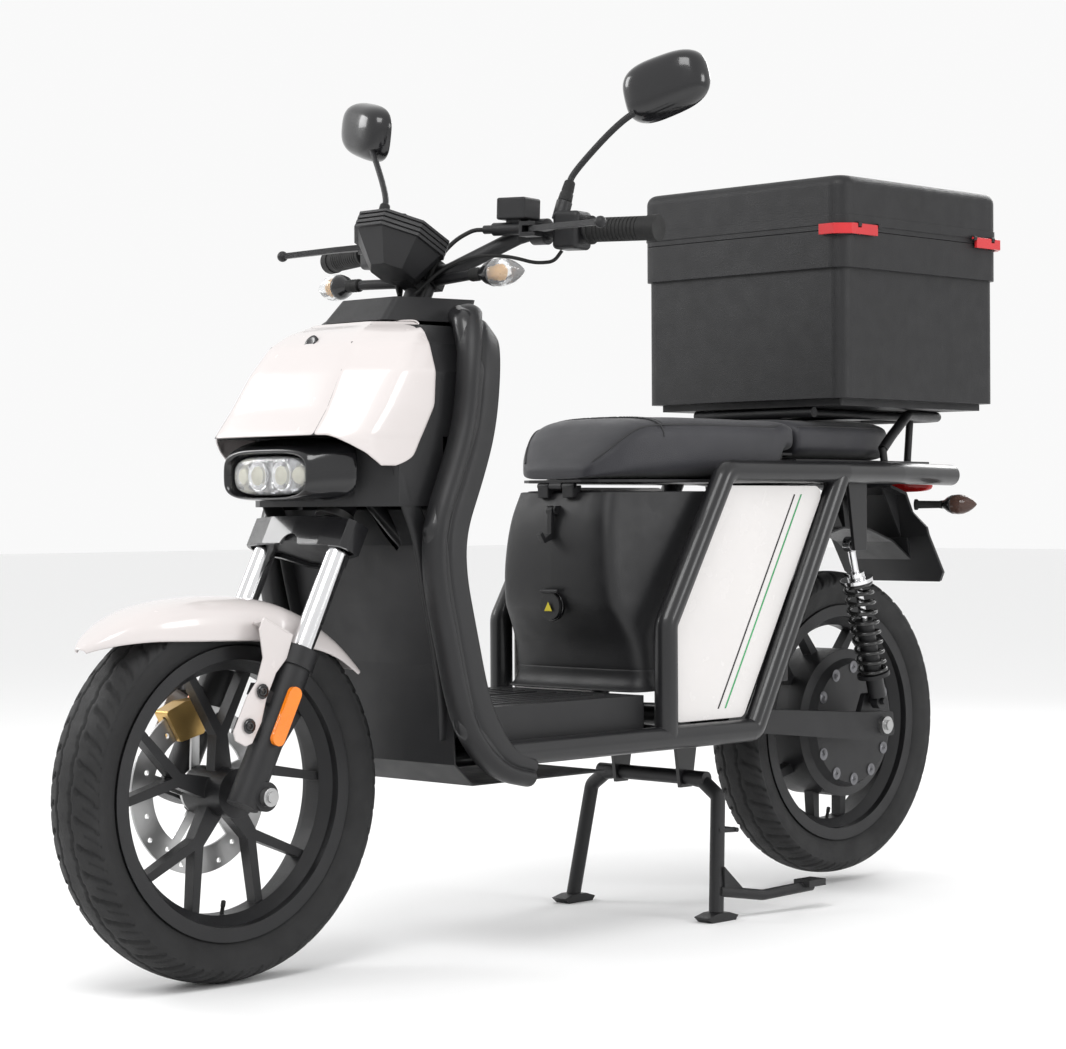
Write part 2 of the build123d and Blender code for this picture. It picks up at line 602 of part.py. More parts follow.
def seat_base():
    outer = stack([(z, seat_base_section(x, y, 0)) for z, x, y in SEAT_BASE_SECTIONS])
    inner = stack([(z + (SKIN if z < 350 else 0), seat_base_section(x, y, SKIN)) for z, x, y in SEAT_BASE_SECTIONS])
    tub = outer - inner - block(-360, -40, -90, 90, 620, 640)
    tub -= Pos(-20, 0, PORT_Z) * Rot(0, 90, 0) * Cylinder(PORT_R, 60)
    hinge_x, hinge_z = SEAT_HINGE
    lug_r = SEAT_PAN_Z - hinge_z - SNUG
    for y in (-36, 14):
        tub += block(-40, hinge_x, y, y + 22, 626, hinge_z + lug_r) + block(-40, hinge_x + lug_r, y, y + 22, 626, hinge_z)
        tub += rod((hinge_x, y, hinge_z), (hinge_x, y + 22, hinge_z), lug_r)
    tub -= rod((hinge_x, -60, hinge_z), (hinge_x, 60, hinge_z), SEAT_PIN_R + RUNNING)
    tub += block(-24, HOOK_X + 4, -9, -5.5, HOOK_Z - 6, HOOK_Z + 6) + block(-24, HOOK_X + 4, 5.5, 9, HOOK_Z - 6, HOOK_Z + 6)
    tub -= rod((HOOK_X, -20, HOOK_Z), (HOOK_X, 20, HOOK_Z), 2 + RUNNING)
    tub += block(-30, -5.6, 18, 23, PORT_Z + 12, PORT_Z + 20) + block(-30, -5.6, -23, -18, PORT_Z + 12, PORT_Z + 20)
    return tub


PORT_Z, PORT_R = 466.0, 15.0
HOOK_X, HOOK_Z = -7.0, 606.0


def bag_hook():
    """Folding luggage hook, hanging down at rest."""
    pin = rod((HOOK_X, -9, HOOK_Z), (HOOK_X, 9, HOOK_Z), 2)
    hub = rod((HOOK_X, -5, HOOK_Z), (HOOK_X, 5, HOOK_Z), 5)
    arm = side_plate([(HOOK_X - 3, HOOK_Z), (HOOK_X + 4, HOOK_Z), (HOOK_X + 5, HOOK_Z - 34), (HOOK_X + 16, HOOK_Z - 40),
                      (HOOK_X + 22, HOOK_Z - 32), (HOOK_X + 27, HOOK_Z - 35), (HOOK_X + 18, HOOK_Z - 48),
                      (HOOK_X, HOOK_Z - 42)], -4, 4)
    return join(pin, hub, arm)


def port_flap():
    """Charging socket cover, hinged along its top edge."""
    cap = Pos(-4, 0, PORT_Z) * Rot(0, 90, 0) * Cylinder(PORT_R + 5, 4)
    barrel = rod((-2, -17, PORT_Z + 22), (-2, 17, PORT_Z + 22), 3)
    neck = block(-6, -2, -10, 10, PORT_Z + 12, PORT_Z + 22)
    return join(cap, barrel, neck)


SIDE_PANEL = [(-442, 641), (-214, 641), (-92, 437), (-92, 299), (-246, 299)]


def side_panels():
    panel = side_plate(SIDE_PANEL, RAIL_Y - 8, RAIL_Y - 8 + SKIN, 14)
    return both(panel)


def tail_cover():
    """Cover between the rear rails under the seat end, pad and rack, open below."""
    plan = [(-395, 0), (-395, 144), (-480, 144), (-640, 126), (-800, 98), (-806, 0)]
    outer = Pos(0, 0, 668) * extrude(outline(mirrored(plan)), 14)
    inner = Pos(0, 0, 667) * extrude(outline(mirrored([(x * 0.98 - 8, max(y - 4, 0)) for x, y in plan])), 12)
    return outer - inner


def rear_lamps():
    lens = block(-836, -812, -84, 84, 632, 664)
    lens = fillet(lens.edges().filter_by(Axis.Z), 8)
    stalk = rod((-792, 84, 612), (-806, 122, 612), 6)
    bulb = rear_signal_bulb()
    mount = block(-804, -784, 76, 90, 600, 626)
    signal = join(mount, stalk, bulb)
    return group(lens, signal, flip(signal))


def teardrop(length, radius):
    """A pointed oval turned about the Y axis, from y=0 to y=length."""
    belly = Spline((radius * 0.45, 0), (radius, length * 0.42), (0, length))
    return revolve(make_face([Line((0, 0), (radius * 0.45, 0)), belly, Line((0, length), (0, 0))]), axis=Axis.Y)


def rear_signal_bulb():
    return Pos(-806, 120, 612) * Rot(0, 0, 8) * teardrop(64, 17)


def rear_mudguard():
    """Inner fender over the rear wheel with the plate holder behind it."""
    raised_z = REAR_Z + 62
    inner_r = TYRE_R + 8
    wall = 3.0
    half = 58.0
    arch_out = [polar(inner_r + wall, angle) for angle in (40, 55, 70, 85, 100, 115, 128)]
    arch_in = [polar(inner_r, angle) for angle in (128, 115, 100, 85, 70, 55, 40)]
    arch = side_plate([(REAR_X + x, raised_z + z) for x, z in arch_out + arch_in], -half, half)
    flap = [(-726, 640), (-764, 628), (-792, 560), (-842, 484), (-846, 486), (-796, 562), (-768, 632), (-726, 645)]
    board = side_plate(flap, -102, 102)
    trim = [(0, 650), (74, 650), (80, 600), (102, 575), (102, 500), (84, 480), (-84, 480), (-102, 500), (-102, 575),
            (-80, 600), (-74, 650)]
    board = board & Pos(-900, 0, 0) * extrude(Plane.YZ * outline(trim), 300)
    web = side_plate([(-776, 560), (-726, 640), (-764, 628)], -half, -half + wall)
    arm = side_plate([polar_at(128, inner_r), polar_at(128, inner_r + wall), (-796, 560), (-792, 556)], -half, half)
    return join(arch, board, arm, web, flip(web))


def polar_at(angle, radius):
    x, z = polar(radius, angle)
    return REAR_X + x, REAR_Z + 62 + z


RACK_R = 8.0
RACK_Z = BOX_FLOOR_Z - BOX_PAN - SNUG - RACK_R


def luggage_rack():
    points = [(-622, 137, 700), (-650, 134, 722), (-700, 128, RACK_Z), (-820, 100, RACK_Z), (-838, 70, RACK_Z),
              (-838, -70, RACK_Z), (-820, -100, RACK_Z), (-700, -128, RACK_Z), (-650, -134, 722), (-622, -137, 700)]
    loop = pipe(points, RACK_R, 14)
    front = rod((-470, -120, RACK_Z), (-470, 120, RACK_Z), RACK_R)
    runner = rod((-470, 90, RACK_Z), (-838, 70, RACK_Z), RACK_R - 1)
    post = rod((-622, 137, 702), (-622, 140, 681), RACK_R - 2)
    tail_post = rod((-770, 82, RACK_Z), (-762, 82, 683), RACK_R - 2)
    plate = block(-800, -480, -60, 60, RACK_Z - 2, RACK_Z + 6)
    cross = rod((-640, -80, RACK_Z), (-640, 80, RACK_Z), RACK_R - 2)
    rack = join(loop, front, runner, flip(runner), plate, cross, post, flip(post), tail_post, flip(tail_post))
    for x in (-760, -520):
        for y in (-40, 40):
            rack -= Pos(x, y, RACK_Z) * Cylinder(3.2, 40)
    return rack


def pillion_pad():
    plan = [(SEAT_REAR_X - 4, 0), (SEAT_REAR_X - 4, 116), (-450, 126), (-600, 122), (-690, 96), (-716, 60), (-720, 0)]
    pad = Pos(0, 0, 683) * extrude(outline(mirrored(plan)), 62)
    pad = chamfer(pad.edges().filter_by(lambda e: e.center().Z > 744), 14)
    room = group(rod((-622, 137, 702), (-622, 140, 681), RACK_R + 4), rod((-650, 134, 722), (-622, 137, 700), RACK_R + 4))
    return pad - room - flip(room)


# ---------------------------------------------------------------- box
def box_layer(grow, z0, z1, corner=BOX_CORNER):
    face = RectangleRounded(BOX_LENGTH + 2 * grow, BOX_WIDTH + 2 * grow, corner + grow)
    return Pos((BOX_FRONT_X + BOX_REAR_X) / 2, 0, z0) * extrude(face, z1 - z0)


HINGE_Y = -(BOX_HALF + 8)
KNUCKLE_R = 5.0


def box_body():
    body = box_layer(-6, BOX_FLOOR_Z, BOX_STEP_Z) + box_layer(0, BOX_STEP_Z, BOX_SEAM_Z - GAP / 2)
    body -= box_layer(-6 - BOX_WALL, BOX_FLOOR_Z + BOX_WALL, BOX_STEP_Z + BOX_WALL + 1)
    body -= box_layer(-BOX_WALL, BOX_STEP_Z + BOX_WALL, BOX_SEAM_Z + 1)
    body += box_layer(-24, BOX_FLOOR_Z - BOX_PAN, BOX_FLOOR_Z)
    for x in (-760, -520):
        for y in (-40, 40):
            body -= Pos(x, y, BOX_FLOOR_Z) * Cylinder(3.2, 60)
    for x in hinge_places(0):
        body += knuckle(x) + block(x - 12, x + 12, HINGE_Y, -BOX_HALF + 1, BOX_SEAM_Z - 14, BOX_SEAM_Z - 2)
    body -= rod((BOX_REAR_X, HINGE_Y, BOX_SEAM_Z), (BOX_FRONT_X, HINGE_Y, BOX_SEAM_Z), 2 + RUNNING)
    return body


def hinge_places(shift):
    middle = (BOX_FRONT_X + BOX_REAR_X) / 2
    return [middle - 120 + shift, middle + 120 + shift]


def knuckle(x):
    return rod((x - 12, HINGE_Y, BOX_SEAM_Z), (x + 12, HINGE_Y, BOX_SEAM_Z), KNUCKLE_R)


def box_lid():
    base = BOX_SEAM_Z + GAP / 2
    lid = box_layer(0, base, BOX_TOP_Z)
    top = lid.edges().filter_by(lambda edge: edge.center().Z > BOX_TOP_Z - 1)
    lid = fillet(top, 16)
    lid -= box_layer(-BOX_WALL, base - 1, BOX_TOP_Z - 16) + box_layer(-20, BOX_TOP_Z - 17, BOX_TOP_Z - BOX_WALL)
    lid += box_layer(1.5, base + 8, base + 22) - box_layer(-2, base + 7, base + 23)
    for x in hinge_places(26):
        lid += knuckle(x) + block(x - 12, x + 12, HINGE_Y, -BOX_HALF + 1, BOX_SEAM_Z + 2, BOX_SEAM_Z + 14)
        lid -= rod((x - 13, HINGE_Y, BOX_SEAM_Z), (x + 13, HINGE_Y, BOX_SEAM_Z), 2 - SNUG)
        lid += rod((x - 38, HINGE_Y, BOX_SEAM_Z), (x + 12, HINGE_Y, BOX_SEAM_Z), 2)
    for x in (BOX_FRONT_X - 60, BOX_REAR_X + 60):
        lid += block(x - 14, x + 14, BOX_HALF - 1, BOX_HALF + 3, base + 1, base + 7)
    for corner_x, way in ((BOX_FRONT_X, 1), (BOX_REAR_X, -1)):
        for lug in latch_lugs(corner_x, way):
            lid += lug
    return lid


LATCH_LONG, LATCH_HALF_HIGH = 85.0, 7.0
LATCH_PIN_R, LATCH_LUG, LATCH_LUG_AT = 2.0, 7.0, 32.0
LATCH_PIN_Y, LATCH_PIN_Z = BOX_HALF + 5.5, BOX_SEAM_Z + LATCH_HALF_HIGH + 1


def latch_lugs(corner_x, way):
    """Two bored lugs on the lid for one latch pin."""
    lugs = []
    for x in (corner_x - way * LATCH_LUG_AT, corner_x - way * (LATCH_LONG - LATCH_PROUD + 1 + LATCH_LUG / 2)):
        ear = rod((x - LATCH_LUG / 2, LATCH_PIN_Y, LATCH_PIN_Z), (x + LATCH_LUG / 2, LATCH_PIN_Y, LATCH_PIN_Z), 4)
        root = block(x - LATCH_LUG / 2, x + LATCH_LUG / 2, BOX_HALF - 1, LATCH_PIN_Y, LATCH_PIN_Z - 4, LATCH_PIN_Z + 4)
        lugs.append(ear + root)
    bore = rod((corner_x - way * 10, LATCH_PIN_Y, LATCH_PIN_Z), (corner_x - way * 100, LATCH_PIN_Y, LATCH_PIN_Z),
               LATCH_PIN_R + RUNNING)
    return lugs[0] - bore, lugs[1] - bore


def latch_front():
    return box_latch(BOX_FRONT_X, 1)


def latch_rear():
    return box_latch(BOX_REAR_X, -1)


def box_latch(corner_x, way):
    """A corner latch: a bar along the side that wraps onto the end face."""
    y_skin = BOX_HALF + 3.5
    z0, z1 = BOX_SEAM_Z - LATCH_HALF_HIGH, BOX_SEAM_Z + LATCH_HALF_HIGH + 2
    face = corner_x + way * 2.2
    outer_x = corner_x + way * LATCH_PROUD
    far_x = corner_x - way * (LATCH_LONG - LATCH_PROUD)
    points = [(far_x, y_skin), (far_x, y_skin + 4.5), (corner_x - way * 12, y_skin + 4.5), (outer_x, y_skin - 15),
              (outer_x, y_skin - 44), (face, y_skin - 44), (face, y_skin - 18), (corner_x - way * 16, y_skin)]
    bar = Pos(0, 0, z0) * extrude(outline(points), z1 - z0)
    notch_x = corner_x - way * LATCH_LUG_AT
    bar -= Pos(notch_x, y_skin, LATCH_PIN_Z + 5) * Box(LATCH_LUG + 2, 40, 20)
    pin = rod((far_x - way * (LATCH_LUG + 1), LATCH_PIN_Y, LATCH_PIN_Z), (corner_x - way * 18, LATCH_PIN_Y, LATCH_PIN_Z),
              LATCH_PIN_R)
    return join(bar, pin)


def battery_packs():
    packs = []
    for x0 in (-345.0, -200.0):
        pack = block(x0, x0 + 130, -88, 88, 352, 590)
        pack = chamfer(pack.edges().filter_by(Axis.Z), 6)
        handle = block(x0 + 50, x0 + 80, -50, 50, 590, 612) - block(x0 + 49, x0 + 81, -38, 38, 589, 604)
        packs.append(join(pack, handle))
    return group(*packs)


def motor_controller():
    case = block(70, 210, -66, 66, 272, 320)
    for index in range(7):
        y = -54 + 18 * index
        case -= block(69, 211, y - 4, y + 4, 312, 321)
    return case


# ---------------------------------------------------------------- handlebar and controls
BAR_IN = (165.0, 135.0, 988.0)         # start of the straight outer run, left side
BAR_OUT = (129.0, 318.0, 982.0)        # its end
GRIP_R = 16.5
GRIP_FROM, GRIP_TO = 92.0, 186.0       # along the straight run
POD_FROM, POD_TO = 42.0, 84.0
CLAMP_FROM, CLAMP_TO = 2.0, 24.0


def bar_frame(along=0.0):
    """Location on the left outer run of the bar: local Z outward along it, X ahead, Y down."""
    start, end = Vector(*BAR_IN), Vector(*BAR_OUT)
    axis = (end - start).normalized()
    ahead = Vector(0, 0, 1).cross(axis) * -1
    return Plane(origin=start + axis * along, x_dir=ahead, z_dir=axis).location


def bar_spot(along, ahead, up):
    return bar_frame(along) * Pos(ahead, -up, 0)


def bar_piece(radius, low, high):
    return bar_frame(low) * Cylinder(radius, high - low, align=FOOT)


def steer_point(x, y, z):
    """A point of the steering frame in the part's own frame."""
    return (STEER_X + x * AXIS_DZ + z * AXIS_DX, y, STEER_Z - x * AXIS_DX + z * AXIS_DZ)


def handlebar():
    low = steer_point(0, 0, CLAMP_LOCAL_Z)
    half = pipe([low, (low[0], 46, low[2]), (176, 116, 982), BAR_IN, BAR_OUT], BAR_R, 12)
    clamp = STEER * block(-19, 19, -24, 24, CLAMP_LOCAL_Z - 19, CLAMP_LOCAL_Z + 18)
    sleeve = STEER * rod((0, 0, HEAD_HIGH + 18), (0, 0, CLAMP_LOCAL_Z - 10), STEM_R + 5)
    arm = STEER * block(10, 40, -14, 14, CLAMP_LOCAL_Z - 34, CLAMP_LOCAL_Z - 14)
    stalk_end = (SIGNAL_X, SIGNAL_ROOT_Y, SIGNAL_Z)
    stalk = rod(steer_point(-6, 12, CLAMP_LOCAL_Z - 10), stalk_end, 7)
    bar = join(half, flip(half), clamp, sleeve, arm, stalk, flip(stalk))
    return bar - STEER * rod((0, 0, HEAD_HIGH), (0, 0, STEM_TOP + SNUG), STEM_R + SNUG)


SIGNAL_X, SIGNAL_ROOT_Y, SIGNAL_Z = 262.0, 112.0, 925.0


def front_signals():
    """Indicator lamps on rubber stalks, left and right."""
    stalk = rod((SIGNAL_X, SIGNAL_ROOT_Y + 1.6, SIGNAL_Z), (SIGNAL_X + 2, SIGNAL_ROOT_Y + 24, SIGNAL_Z), 9)
    bulb = Pos(SIGNAL_X + 2, SIGNAL_ROOT_Y + 18, SIGNAL_Z) * Rot(0, 0, 6) * teardrop(78, 20)
    return both(join(stalk, bulb))


POD_X, POD_Z = 60.0, 424.0


def instrument_pod():
    """Eight-sided display binnacle with a ribbed rim and a bowl below."""
    rim = RegularPolygon(70, 8, rotation=22.5)
    body = Pos(POD_X, 0, POD_Z - 2) * extrude(rim, 24)
    for level in (4, 11, 18):
        groove = extrude(rim, 2.4) - extrude(RegularPolygon(67, 8, rotation=22.5), 2.4)
        body -= Pos(POD_X, 0, POD_Z - 2 + level) * groove
    bowl = loft([Pos(POD_X, 0, POD_Z - 2) * RegularPolygon(64, 8, rotation=22.5),
                 Pos(POD_X - 6, 0, POD_Z - 40) * RegularPolygon(34, 8, rotation=22.5)])
    body -= Pos(POD_X, 0, POD_Z + 18) * extrude(RegularPolygon(60, 8, rotation=22.5), 10)
    pod = join(body, bowl)
    pod -= block(-25, 41, -15, 15, POD_Z - 45, CLAMP_LOCAL_Z - 14 + SNUG)
    pod -= Pos(0, 0, POD_Z) * Box(46, 200, 60)
    return STEER * max(pod.solids(), key=lambda solid: solid.volume)


def grip_body(inner):
    grip = bar_frame(GRIP_FROM) * Cylinder(GRIP_R, GRIP_TO - GRIP_FROM, align=FOOT)
    flange = bar_piece(GRIP_R + 3, GRIP_FROM, GRIP_FROM + 4)
    knob = bar_piece(GRIP_R + 1.5, GRIP_TO, GRIP_TO + 14)
    sleeve = join(grip, flange, knob)
    for index in range(12):
        low = GRIP_FROM + 12 + index * 6
        sleeve -= bar_piece(GRIP_R + 1, low, low + 2) - bar_piece(GRIP_R - 1, low - 1, low + 3)
    return sleeve - bar_piece(inner, GRIP_FROM - 2, BAR_LENGTH + SNUG)


BAR_LENGTH = sqrt(sum((b - a) ** 2 for a, b in zip(BAR_IN, BAR_OUT)))


def left_grip():
    return grip_body(BAR_R + SNUG)


def throttle_grip():
    return flip(grip_body(BAR_R + RUNNING))


BUTTON_R = 5.0
HORN_ALONG, SWITCH_ALONG = 74.0, 56.0


def control_pod():
    """Switch housing round the bar, seen on the left side."""
    middle = (POD_FROM + POD_TO) / 2
    shell = bar_frame(middle) * Box(40, 52, POD_TO - POD_FROM)
    shell = fillet(shell.edges(), 7)
    base = rod(mirror_axis_point(-26), mirror_axis_point(-0.4), 11)
    return join(shell, base) - bar_piece(BAR_R + SNUG, POD_FROM - 1, POD_TO + 1)


def button_room(along, up, half_long):
    return bar_spot(along, -18, up) * Box(14, 2 * BUTTON_R + 0.6, 2 * half_long + 0.6)


def switch_pods():
    pod = control_pod()
    left = pod - button_room(HORN_ALONG, -12, 5) - button_room(SWITCH_ALONG, 8, 12)
    right = flip(pod - button_room(HORN_ALONG, -12, 5))
    return group(left, right)


def button(along, up, half_long):
    cap = bar_spot(along, -18.5, up) * Box(8, 2 * BUTTON_R, 2 * half_long)
    return fillet(cap.edges(), 1.5)


def horn_button():
    return button(HORN_ALONG, -12, 5)


def turn_switch():
    return button(SWITCH_ALONG, 8, 8)


def start_button():
    return flip(button(HORN_ALONG, -12, 5))


LEVER_PIVOT_AHEAD = 40.0
LEVER_PIN_R = 4.0


def master_cylinder():
    """Brake cylinder on the left: bar clamp, cylinder, square reservoir and lever fork."""
    clamp = bar_piece(BAR_R + 7, CLAMP_FROM, CLAMP_TO)
    arm = bar_spot(13, 22, 0) * Box(30, 16, 20)
    barrel = bar_spot(-42, 34, 2) * Cylinder(9, 62, align=FOOT)
    outlet = bar_spot(-58, 34, 2) * Cylinder(6, 16, align=FOOT)
    reservoir = bar_spot(-8, 26, 29) * Box(42, 30, 46)
    reservoir = fillet(reservoir.edges(), 3)
    neck = bar_spot(-8, 28, 12) * Box(20, 10, 24)
    fork = bar_spot(22, LEVER_PIVOT_AHEAD, 0) * Box(20, 20, 26)
    body = join(clamp, arm, barrel, outlet, reservoir, neck, fork)
    body -= bar_spot(30, LEVER_PIVOT_AHEAD + 2, 0) * Box(34, 9, 32)
    body -= bar_spot(26, LEVER_PIVOT_AHEAD, 0) * Rot(90, 0, 0) * Cylinder(LEVER_PIN_R + RUNNING, 60)
    return body - bar_piece(BAR_R + SNUG, CLAMP_FROM - 1, CLAMP_TO + 1)


def master_cylinders():
    return both(master_cylinder())


def lever():
    """Left brake lever: a tapered blade from the pin to the ball end."""
    x = LEVER_PIVOT_AHEAD
    points = [(x - 5, -2), (x + 5, -4), (x + 16, 18), (x + 28, 44), (x + 62, 138), (x + 55, 140), (x + 18, 48),
              (x - 2, 20)]
    blade = Rot(90, 0, 0) * extrude(outline(points, 1.5), 4, both=True)
    blade = join(blade, Rot(90, 0, 0) * Pos(LEVER_PIVOT_AHEAD, 0, 0) * Cylinder(7, 8))
    ball = Pos(LEVER_PIVOT_AHEAD + 59, 0, 144) * Sphere(8)
    pin = Pos(LEVER_PIVOT_AHEAD, 0, 0) * Rot(90, 0, 0) * Cylinder(LEVER_PIN_R, 20)
    return bar_frame(26) * join(blade, ball, pin)


def brake_lever_left():
    return lever()


def brake_lever_right():
    return flip(lever())


HOSE_R = 3.0
CABLE_R = 2.5


def cord(points, radius):
    """A flexible line: each arc is as large as its two runs allow."""
    spots = [Vector(*point) for point in points]
    radii = []
    for before, corner, after in zip(spots, spots[1:], spots[2:]):
        run = min((corner - before).length, (after - corner).length)
        turn = (corner - before).get_angle(after - corner)
        radii.append(0.45 * run / tan(radians(turn / 2)))
    path = FilletPolyline(*spots, radius=radii)
    print("cord radii", [round(value) for value in radii], "length", round(path.length))
    return sweep(Plane(origin=path @ 0, z_dir=path % 0) * Circle(radius), path=path)


def brake_hoses():
    """Hydraulic lines from the cylinders and switch cables, all led down into the neck."""
    hose = [bar_point(-58 - SNUG, 34, 2), steer_point(3, 68, 481), steer_point(12, 52, 463),
            steer_point(17, 41, 440), steer_point(17, 33, 416), steer_point(13, 26, 393),
            steer_point(9.5, 22.5, 371)]
    cable = [bar_point(50, 4, -27), bar_point(40, 8, -42), bar_point(14, 14, -44),
             steer_point(-30, 122, 454), steer_point(-8, 95, 445), steer_point(7, 70, 431),
             steer_point(15, 50, 413), steer_point(17.5, 33, 394), steer_point(17.5, 17, 374)]
    hose, cable = cord(hose, HOSE_R), cord(cable, CABLE_R)
    return group(hose, flip(hose), cable, flip(cable))


def bar_point(along, ahead, up):
    return tuple(bar_spot(along, ahead, up).position)


# ---------------------------------------------------------------- mirrors
MIRROR_BASE = (155.0, 185.0, 1026.0)
MIRROR_BEND = (142.0, 188.0, 1066.0)
MIRROR_ELBOW = (110.0, 250.0, 1136.0)
MIRROR_HEAD = (80.0, 302.0, 1180.0)
MIRROR_TURN = 15.0


def mirror_axis_point(distance):
    base = Vector(*MIRROR_BASE)
    return tuple(base + (Vector(*MIRROR_BEND) - base).normalized() * distance)


def mirror_left():
    base = Vector(*MIRROR_BASE)
    axis = (Vector(*MIRROR_BEND) - base).normalized()
    nut = Plane(origin=base, z_dir=axis) * Cone(10, 7.5, 30, align=FOOT)
    stem = pipe([MIRROR_BASE, MIRROR_BEND, MIRROR_ELBOW, (88, 284, 1152)], 4.5, 20)
    frame = Plane(origin=MIRROR_HEAD, x_dir=(sin(radians(MIRROR_TURN)) * -1, cos(radians(MIRROR_TURN)), 0.24),
                  z_dir=(cos(radians(MIRROR_TURN)), sin(radians(MIRROR_TURN)), 0))
    face = [(-66, -34), (-34, -44), (44, -38), (66, -14), (62, 24), (34, 44), (-28, 44), (-62, 14)]
    back = [(0.72 * u, 0.68 * v) for u, v in face]
    middle = [(0.94 * u, 0.93 * v) for u, v in face]
    head = loft([frame * Pos(0, 0, -12) * outline(face, 9), frame * Pos(0, 0, 6) * outline(middle, 9),
                 frame * Pos(0, 0, 22) * outline(back, 7)])
    recess = frame * Pos(0, 0, -13) * extrude(outline([(0.93 * u, 0.92 * v) for u, v in face], 8), 5)
    return join(nut, stem, head - recess)


def mirror_right():
    return flip(mirror_left())


# ---------------------------------------------------------------- rear suspension
SWING_HALF_HIGH = 19.0


def swingarm():
    arm = side_plate([(PIVOT_X - 6, PIVOT_Z - 17), (PIVOT_X + 14, PIVOT_Z - 10), (PIVOT_X + 14, PIVOT_Z + 10),
                      (PIVOT_X - 6, PIVOT_Z + 17), (REAR_X + 60, REAR_Z + 24), (REAR_X - 26, REAR_Z + 20),
                      (REAR_X - 30, REAR_Z - 18), (REAR_X + 60, REAR_Z - 20)],
                     ARM_Y - ARM_HALF_THICK, ARM_Y + ARM_HALF_THICK, 6)
    lug_x, lug_z = SHOCK_FOOT
    lug = side_plate([(lug_x - 30, lug_z - 30), (lug_x + 34, lug_z - 30), (lug_x + 14, lug_z + 12),
                      (lug_x - 14, lug_z + 12)], ARM_Y - 6, ARM_Y + 4, 5)
    pin = rod((lug_x, ARM_Y, lug_z), (lug_x, SHOCK_Y + 14, lug_z), 5)
    side = join(arm, lug, pin)
    bridge = rod((PIVOT_X, 0, PIVOT_Z), (PIVOT_X, ARM_Y, PIVOT_Z), SWING_SHAFT_R + 7)
    bridge += rod((PIVOT_X, 0, PIVOT_Z), (PIVOT_X, ARM_Y + ARM_HALF_THICK, PIVOT_Z), 15)
    bridge -= block(PIVOT_X - 40, PIVOT_X + 40, TUBE_Y - 12, TUBE_Y, PIVOT_Z - 40, PIVOT_Z + 40)
    arm_tube = rod((PIVOT_X - 50, 0, PIVOT_Z - 2), (PIVOT_X - 50, ARM_Y, PIVOT_Z - 2), 13)
    gusset = block(PIVOT_X - 50, PIVOT_X, 0, 50, PIVOT_Z - 9, PIVOT_Z + 7)
    half = join(side, bridge, arm_tube, gusset)
    body = join(half, flip(half))
    body -= rod((PIVOT_X, -200, PIVOT_Z), (PIVOT_X, 200, PIVOT_Z), SWING_SHAFT_R + RUNNING)
    for side_sign in (-1, 1):
        body -= rod((REAR_X, side_sign * 80, REAR_Z), (REAR_X, side_sign * 130, REAR_Z), REAR_AXLE_R + SNUG)
    return body


def rear_axle():
    reach = ARM_Y + ARM_HALF_THICK
    shaft = rod((REAR_X, -reach - 14, REAR_Z), (REAR_X, reach + 14, REAR_Z), REAR_AXLE_R)
    pieces = [shaft]
    for side in (-1, 1):
        pieces.append(rod((REAR_X, side * (reach + SNUG), REAR_Z), (REAR_X, side * (reach + 9), REAR_Z), 14))
        pieces.append(rod((REAR_X, side * (MOTOR_COVER_HALF + 0.5), REAR_Z),
                          (REAR_X, side * (ARM_Y - ARM_HALF_THICK - SNUG), REAR_Z), REAR_AXLE_R + 5))
    return join(*pieces)


SHOCK_LENGTH = hypot(SHOCK_TOP[0] - SHOCK_FOOT[0], SHOCK_TOP[1] - SHOCK_FOOT[1])
SHOCK_TILT = degrees(atan2(SHOCK_TOP[0] - SHOCK_FOOT[0], SHOCK_TOP[1] - SHOCK_FOOT[1]))
SHOCK = Pos(SHOCK_TOP[0], SHOCK_Y, SHOCK_TOP[1]) * Rot(0, SHOCK_TILT, 0)     # local -Z runs down the damper
PIN_R = 5.0
OPEN_PIVOT = 0.7               # the lower eye is rubber bushed and gives this much
SPRING_TOP, SPRING_FOOT = -62.0, -212.0
SPRING_R, WIRE_R = 21.0, 3.3
SHAFT_R = 6.0
DAMPER_TOP = -124.0


def eye(z):
    return rod((0, -7, z), (0, 7, z), 12) - rod((0, -8, z), (0, 8, z), PIN_R + RUNNING)


def shock_shafts():
    shaft = rod((0, 0, -6), (0, 0, -190), SHAFT_R)
    seat = rod((0, 0, SPRING_TOP), (0, 0, SPRING_TOP + 6), 26) + rod((0, 0, SPRING_TOP), (0, 0, SPRING_TOP + 16), 14)
    return both(SHOCK * (join(shaft, seat, eye(0)) - rod((0, -20, 0), (0, 20, 0), PIN_R + RUNNING)))


def shock_dampers():
    body = rod((0, 0, -SHOCK_LENGTH + 8), (0, 0, DAMPER_TOP), 14)
    seat = rod((0, 0, SPRING_FOOT - 6), (0, 0, SPRING_FOOT), 26)
    damper = join(body, seat, eye(-SHOCK_LENGTH)) - rod((0, 0, -SHOCK_LENGTH + 14), (0, 0, DAMPER_TOP + 1),
                                                         SHAFT_R + RUNNING)
    return both(SHOCK * (damper - rod((0, -20, -SHOCK_LENGTH), (0, 20, -SHOCK_LENGTH), PIN_R + OPEN_PIVOT)))


def shock_springs():
    height = SPRING_TOP - SPRING_FOOT - 2 * WIRE_R - 0.4
    coil = Helix(height / 8.5, height, SPRING_R)
    wire = sweep(Plane(origin=coil @ 0, z_dir=coil % 0) * Circle(WIRE_R), path=coil)
    return both(SHOCK * Pos(0, 0, SPRING_FOOT + WIRE_R + 0.2) * wire)


# ---------------------------------------------------------------- seat
SEAT_PAN_Z = 646.0
SEAT_PAN_THICK = 4.0


